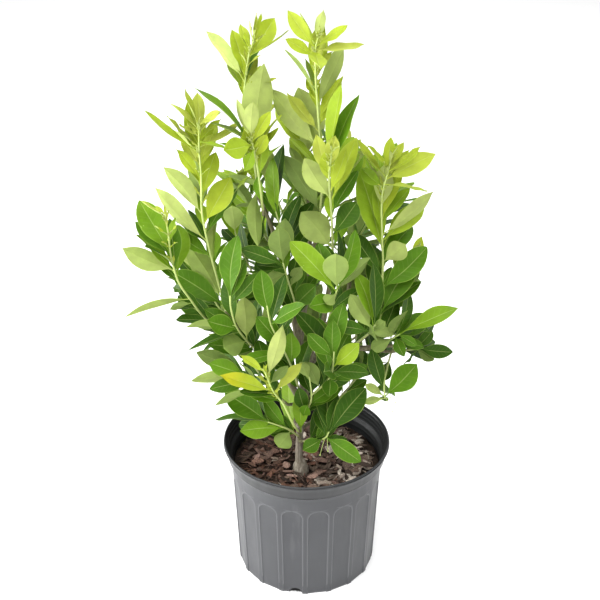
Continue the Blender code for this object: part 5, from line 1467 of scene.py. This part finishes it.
# Heights of the plain rings between the arches and the rim band, and the underside's rim
BELT_ROWS = (PANEL_TOP + 0.0022, PANEL_TOP + 0.0040, POT_HEIGHT - RIM_BAND - 0.012)
UNDERSIDE = BASE_RADIUS - 0.010


def body_ring(height, half, depth):
    """A ring of the pot's body, whose panels reach half either way and are sunk by depth."""
    radius = body_radius(height)
    edge = PANEL_EDGE / radius
    flat = (radius - depth) * math.cos(max(half - edge, 0.0))
    pitch = [(-half, radius)]
    for index in range(PANEL_COLUMNS + 1):
        angle = (2.0 * index / PANEL_COLUMNS - 1.0) * max(half - edge, 0.0002)
        pitch.append((angle, min(flat / math.cos(angle), radius) if depth else radius))
    pitch.append((half, radius))
    gap = PANEL_PITCH - 2 * half
    pitch += [(half + gap * index / RIB_COLUMNS, radius) for index in range(1, RIB_COLUMNS)]
    centres = [PANEL_TURN + PANEL_PITCH * (panel + 0.5) for panel in range(PANELS)]
    return [around(centre + angle, out, height) for centre in centres for angle, out in pitch]


def plain_ring(radius, height):
    """A plain ring with as many points as the body's."""
    spots = body_ring(height, PANEL_HALF, 0.0)
    return [around(math.atan2(spot.y, spot.x), radius, height) for spot in spots]


def pot_rings():
    """The pot's rings from its underside round the rim to its floor, the last one of the arches,
    and the first one of the rim."""
    rings = [plain_ring(UNDERSIDE, 0.0)]
    for height in (*FOOT_ROWS, *(PANEL_SPRING * share for share in WALL_ROWS)):
        rings.append(body_ring(height, PANEL_HALF, PANEL_STEP))
    for index in range(1, ARCH_ROWS + 1):
        turn = math.pi / 2 * index / (ARCH_ROWS + 0.35)
        height = PANEL_SPRING + (PANEL_TOP - PANEL_SPRING) * math.sin(turn)
        rings.append(body_ring(height, PANEL_HALF * math.cos(turn), PANEL_STEP))
    crown = len(rings)
    rings.append(body_ring(PANEL_TOP + 0.0006, PANEL_HALF * 0.16, 0.0))
    rings += [plain_ring(body_radius(height), height) for height in BELT_ROWS]
    rim = len(rings)
    rings += [plain_ring(radius, POT_HEIGHT - drop) for radius, drop in RIM_PROFILE]
    top = RIDGE_TOP
    while top > RIDGE_FOOT:
        for drop, out in RIDGE_PROFILE:
            height = top - drop
            rings.append(plain_ring(body_radius(height) - FINE_WALL + out, height))
        top -= RIDGE_STEP
    rings.append(plain_ring(body_radius(POT_FLOOR) - POT_WALL, POT_FLOOR))
    return rings, crown, rim


def pot_tones(count, columns, crown, rim):
    """The rings' tones: how far inside the pot, which also sets the painted shade inside it, how much painted
    shadow, and how light an edge is: painted highlights on the panel edges and arch tops, wear on the foot.
    """
    lip = rim + RIM_OUTSIDE
    tones = np.zeros((count, columns, 3))
    tones[:, :, 0] = [[eased((index - lip) / 2.0)] for index in range(count)]
    tones[rim + 4 : lip + 1, :, 1] = 0.75
    tones[rim + 2 : rim + 7, :, 1] = 1.0
    tones[1:3, :, 2] = 0.6
    spot = np.arange(columns) % PITCH_COLUMNS
    last = PANEL_COLUMNS + 2
    # Painted highlights: the panel edges and the arch tops are lighter
    tones[len(FOOT_ROWS) : crown + 1, :, 2] = np.isin(spot, (0, last))
    tones[crown, spot < last, 2] = 1.0
    return tones.reshape(-1, 3)


def make_fine_pot(materials):
    """The pot with crisp arched panels, a rolled rim and ridges round its inside."""
    rings, crown, rim = pot_rings()
    columns = len(rings[0])
    points = [point for ring in rings for point in ring]
    size = len(points)
    faces = grid_faces(len(rings), columns)
    slots = [int(index // columns >= rim + RIM_OUTSIDE) for index in range(len(faces))]
    points += [Vector((0.0, 0.0, 0.0)), Vector((0.0, 0.0, POT_FLOOR))]
    faces += [face[::-1] for face in fan_faces(0, columns, size)]
    faces += fan_faces(size - columns, columns, size + 1)
    slots += [0] * columns + [1] * columns
    tones = np.vstack([pot_tones(len(rings), columns, crown, rim), (0.0, 0.0, 0.0), (1.0, 0.0, 0.0)])
    builder = Builder("pot_shell", "pot_tone", materials)
    builder.add(points, faces, tones, slots=slots)
    cut_notches(builder.build("pot", 32.0))


def cut_notches(pot):
    """The arched drain notches at the foot."""
    work = bmesh.new()
    for notch in range(NOTCHES):
        angle = NOTCH_TURN + 2 * math.pi * notch / NOTCHES
        route = [around(angle, BASE_RADIUS + reach, 0.0) for reach in NOTCH_REACH]
        points, faces = tube(route, [NOTCH_RADIUS] * 2, 28)
        corners = [work.verts.new(point) for point in points]
        for face in faces:
            work.faces.new([corners[index] for index in face])
    bmesh.ops.recalc_face_normals(work, faces=work.faces)
    cutter = add_object("notch_cut", bpy.data.meshes.new("notch_cut"))
    work.to_mesh(cutter.data)
    work.free()
    modifier = pot.modifiers.new("notches", "BOOLEAN")
    modifier.operation = "DIFFERENCE"
    modifier.object = cutter
    modifier.solver = "EXACT"
    graph = bpy.context.evaluated_depsgraph_get()
    graph.update()
    pot.data = bpy.data.meshes.new_from_object(pot.evaluated_get(graph))
    pot.modifiers.clear()
    bpy.data.objects.remove(cutter, do_unlink=True)


# Fine soil and mulch

# The chips' colours, warmer at the left
LEFT_CHIPS = (
    (0.175, 0.088, 0.060), (0.085, 0.048, 0.034), (0.290, 0.165, 0.125), (0.215, 0.135, 0.105),
    (0.460, 0.290, 0.235), (0.050, 0.031, 0.022), (0.120, 0.080, 0.060),
)
RIGHT_CHIPS = (
    (0.150, 0.100, 0.075), (0.085, 0.058, 0.044), (0.230, 0.170, 0.130), (0.300, 0.240, 0.195),
    (0.055, 0.038, 0.028), (0.500, 0.430, 0.360), (0.120, 0.085, 0.064),
)
CHIP_WEIGHTS = (4, 5, 2, 3, 1, 5, 4)
SOIL_COLOUR = (0.045, 0.028, 0.020)
SOIL_COLUMNS = 96
SOIL_ROWS = 30
FINE_CHIPS = 520
FINE_SPLINTERS = 420
TRUNK_CLEAR = 0.0135
MOST_LIFT = 0.0085

# The least and most of each; a chip's width is a share of its length
Bark = namedtuple("Bark", "length width thickness")
CHIP = Bark((0.014, 0.035), (0.28, 0.62), (0.0010, 0.0028))
SPLINTER = Bark((0.008, 0.026), (0.0012, 0.0036), (0.0008, 0.0018))


def soil_radius(height):
    """The soil's radius at a height, just clear of the pot."""
    return body_radius(height) - POT_WALL - 0.0002


def add_soil(builder, chance):
    """The root ball's side and the soil's rough surface."""
    angles = [2 * math.pi * column / SOIL_COLUMNS for column in range(SOIL_COLUMNS)]
    foot = (POT_FLOOR + FIT_GAP, SOIL_EDGE - 0.02)
    points = [around(angle, soil_radius(height), height) for height in foot for angle in angles]
    side = len(points)
    for share in np.linspace(1.0, 0.02, SOIL_ROWS):
        for angle in angles:
            point = around(angle, soil_radius(SOIL_EDGE) * share, 0.0)
            point.z = soil_height(point.x, point.y) - 0.0012 + chance.uniform(-0.0012, 0.0012)
            points.append(point)
    size = len(points)
    points.append(Vector((0.0, 0.0, soil_height(0.0, 0.0))))
    faces = grid_faces(SOIL_ROWS + 2, SOIL_COLUMNS) + fan_faces(size - SOIL_COLUMNS, SOIL_COLUMNS, size)
    faces.append(tuple(reversed(range(SOIL_COLUMNS))))
    tones = np.tile(SOIL_COLOUR, (len(points), 1))
    # Painted shade: the root ball's side, seen through the drain notches, is near black
    tones[:side] = 0.008
    builder.add(points, faces, tones)


def chip_plate(chance, length, width, thickness):
    """A bent, ragged flake of bark, lying flat at the origin."""
    corners = chance.randint(6, 9)
    ring = []
    for index in range(corners):
        angle = 2 * math.pi * (index + chance.uniform(-0.25, 0.25)) / corners
        reach = chance.uniform(0.72, 1.0)
        ring.append((length / 2 * reach * math.cos(angle), width / 2 * reach * math.sin(angle)))
    bend = chance.uniform(-0.25, 0.25) / length
    points = []
    for level, inset in ((-0.5, 0.86), (0.18, 1.0), (0.5, 0.80)):
        for x, y in ring:
            height = (level + chance.uniform(-0.08, 0.08)) * thickness + bend * x * x
            points.append((x * inset, y * inset, height))
    points.append((0.0, 0.0, 0.42 * thickness))
    faces = grid_faces(3, corners) + fan_faces(2 * corners, corners, 3 * corners)
    return np.array(points), faces + [tuple(reversed(range(corners)))]


def spun(points, middle, turn, tilt_x, tilt_y):
    """Points turned and tilted about the origin, then moved."""
    spin = Quaternion((0, 0, 1), turn) @ Quaternion((1, 0, 0), tilt_x) @ Quaternion((0, 1, 0), tilt_y)
    return points @ np.array(spin.to_matrix()).T + np.array(middle)


def add_bark(builder, chance, kind):
    """One chip or splinter at a chance place, unless it would meet the trunk or the pot."""
    room = soil_radius(SOIL_EDGE)
    reach = (room - 0.006) * math.sqrt(chance.uniform(0.0, 1.0))
    spot = around(chance.uniform(0, 2 * math.pi), reach, 0.0)
    length = chance.uniform(*kind.length)
    width = chance.uniform(*kind.width) * (length if kind is CHIP else 1.0)
    thickness = chance.uniform(*kind.thickness)
    if (spot - TRUNK_FOOT).xy.length < TRUNK_CLEAR + width / 2 or reach + length / 2 > room:
        return
    spot.z = soil_height(spot.x, spot.y) + chance.uniform(0.0, MOST_LIFT)
    plate, faces = chip_plate(chance, length, width, thickness)
    turn = chance.uniform(0, 2 * math.pi)
    placed = spun(plate, spot, turn, chance.uniform(-0.45, 0.45), chance.uniform(-0.35, 0.35))
    right = spot.x / room + chance.uniform(-0.6, 0.6) > 0.1
    colour = chance.choices(RIGHT_CHIPS if right else LEFT_CHIPS, CHIP_WEIGHTS)[0]
    shade = chance.uniform(0.75, 1.25)
    builder.add(placed, faces, tuple(min(1.0, value * shade) for value in colour))


def make_fine_soil(materials):
    """The soil's rough surface and the mulch that covers it."""
    builder = Builder("bark_mulch_cover", "chip_tone", materials)
    chance = random.Random(MULCH_SEED)
    add_soil(builder, chance)
    for kind in [CHIP] * FINE_CHIPS + [SPLINTER] * FINE_SPLINTERS:
        add_bark(builder, chance, kind)
    builder.build("soil", 28.0)


# Fine wood

# Points to a span, sides, wobble, greenness at the foot, and how much greener the tip is
Grain = namedtuple("Grain", "steps sides wobble green greener")
TRUNK_GRAIN = Grain(6, 20, 0.07, 0.0, 0.15)
BRANCH_GRAIN = Grain(4, 10, 0.05, 0.55, 0.5)


def trunk_swell(height):
    """How much the trunk's foot flares above the soil."""
    above = height - SOIL_EDGE - SOIL_MOUND
    return 1.0 + 0.32 * math.exp(-abs(above) / 0.014)


def make_fine_trunk(wood, spurs, materials):
    """The trunk, branches and spurs with bark."""
    builder = Builder("trunk_and_branches", "bark_tone", materials)
    for index, (route, radii) in enumerate(wood + spurs):
        grain = BRANCH_GRAIN if index else TRUNK_GRAIN
        fine = smooth_route(route, grain.steps)
        spans = len(route) - 1
        fine_radii = list(np.interp(np.linspace(0, spans, len(fine)), range(spans + 1), radii))
        if index == 0:
            fine_radii = [radius * trunk_swell(point.z) for radius, point in zip(fine_radii, fine)]
        points, faces, along = fine_tube(fine, fine_radii, grain.sides, grain.wobble, index)
        tones = np.zeros((len(points), 3))
        tones[:, 0] = np.clip(grain.green + along * grain.greener, 0, 1)
        builder.add(points, faces, tones)
    builder.build("trunk", 60.0)


# The whole

wood, spurs, routes, fine_routes, crowd = layout()
extras = filling_leaves(fine_routes, crowd)
leaf_materials = [leaf_look(UPPER_SIDE), leaf_look(UNDER_SIDE), stem_look()]
for number, (name, route) in enumerate(routes.items()):
    make_leafy_shoot(name, route, crowd.grown[name], extras[name], leaf_materials, number)
make_fine_trunk(wood, spurs, [bark_look()])
make_fine_pot([pot_look("pot_shell", 0.5), pot_look("pot_inside", 0.22)])
make_fine_soil([mulch_look()])


# Floor, light and camera

FLOOR_HALF = 60.0


def make_floor():
    """A plain pale floor."""
    mesh = bpy.data.meshes.new("floor")
    corners = [(x * FLOOR_HALF, y * FLOOR_HALF, 0.0) for x, y in ((-1, -1), (1, -1), (1, 1), (-1, 1))]
    mesh.from_pydata(corners, [], [(0, 1, 2, 3)])
    look = Look("pale_floor")
    look.surface((0.93, 0.93, 0.93), 1.0, 0.0)
    mesh.materials.append(look.material)
    floor = add_object("floor", mesh)


def soft_light(name, place, target, size, power):
    """A square softbox turned to a point on the plant's axis at the target's height."""
    data = bpy.data.lights.new(name, "AREA")
    data.shape = "SQUARE"
    data.size = size
    data.energy = power
    light = add_object(name, data)
    light.location = place
    away = Vector((0.0, 0.0, target)) - Vector(place)
    light.rotation_euler = away.to_track_quat("-Z", "Y").to_euler()


make_floor()
soft_light("key_light", (-2.6, -1.3, 2.6), 0.45, 2.4, 135.0)
soft_light("side_light", (-2.4, 0.3, 0.8), 0.15, 1.2, 75.0)
soft_light("front_light", (-0.9, -3.0, 0.8), 0.55, 2.0, 40.0)
soft_light("fill_light", (2.4, -1.8, 2.0), 0.60, 2.2, 14.0)
soft_light("top_light", (0.5, -1.0, 3.3), 0.60, 2.2, 68.0)
soft_light("back_light", (0.4, 2.4, 2.8), 0.60, 2.0, 45.0)

world = bpy.data.worlds.new("studio")
world.use_nodes = True
background = world.node_tree.nodes["Background"]
background.inputs["Color"].default_value = (1.0, 1.0, 1.0, 1.0)
background.inputs["Strength"].default_value = 0.69
bpy.context.scene.world = world
bpy.context.scene.view_settings.view_transform = "Standard"

lens = bpy.data.cameras.new("photo_camera")
lens.sensor_width = 36.0
lens.lens = lens.sensor_width * PICTURE_FOCAL / (2 * PICTURE_MIDDLE)
camera = add_object("photo_camera", lens)
camera.location = EYE
camera.rotation_euler = (math.pi / 2 - LOOK_DOWN, 0.0, -LOOK_ASIDE)
bpy.context.scene.camera = camera
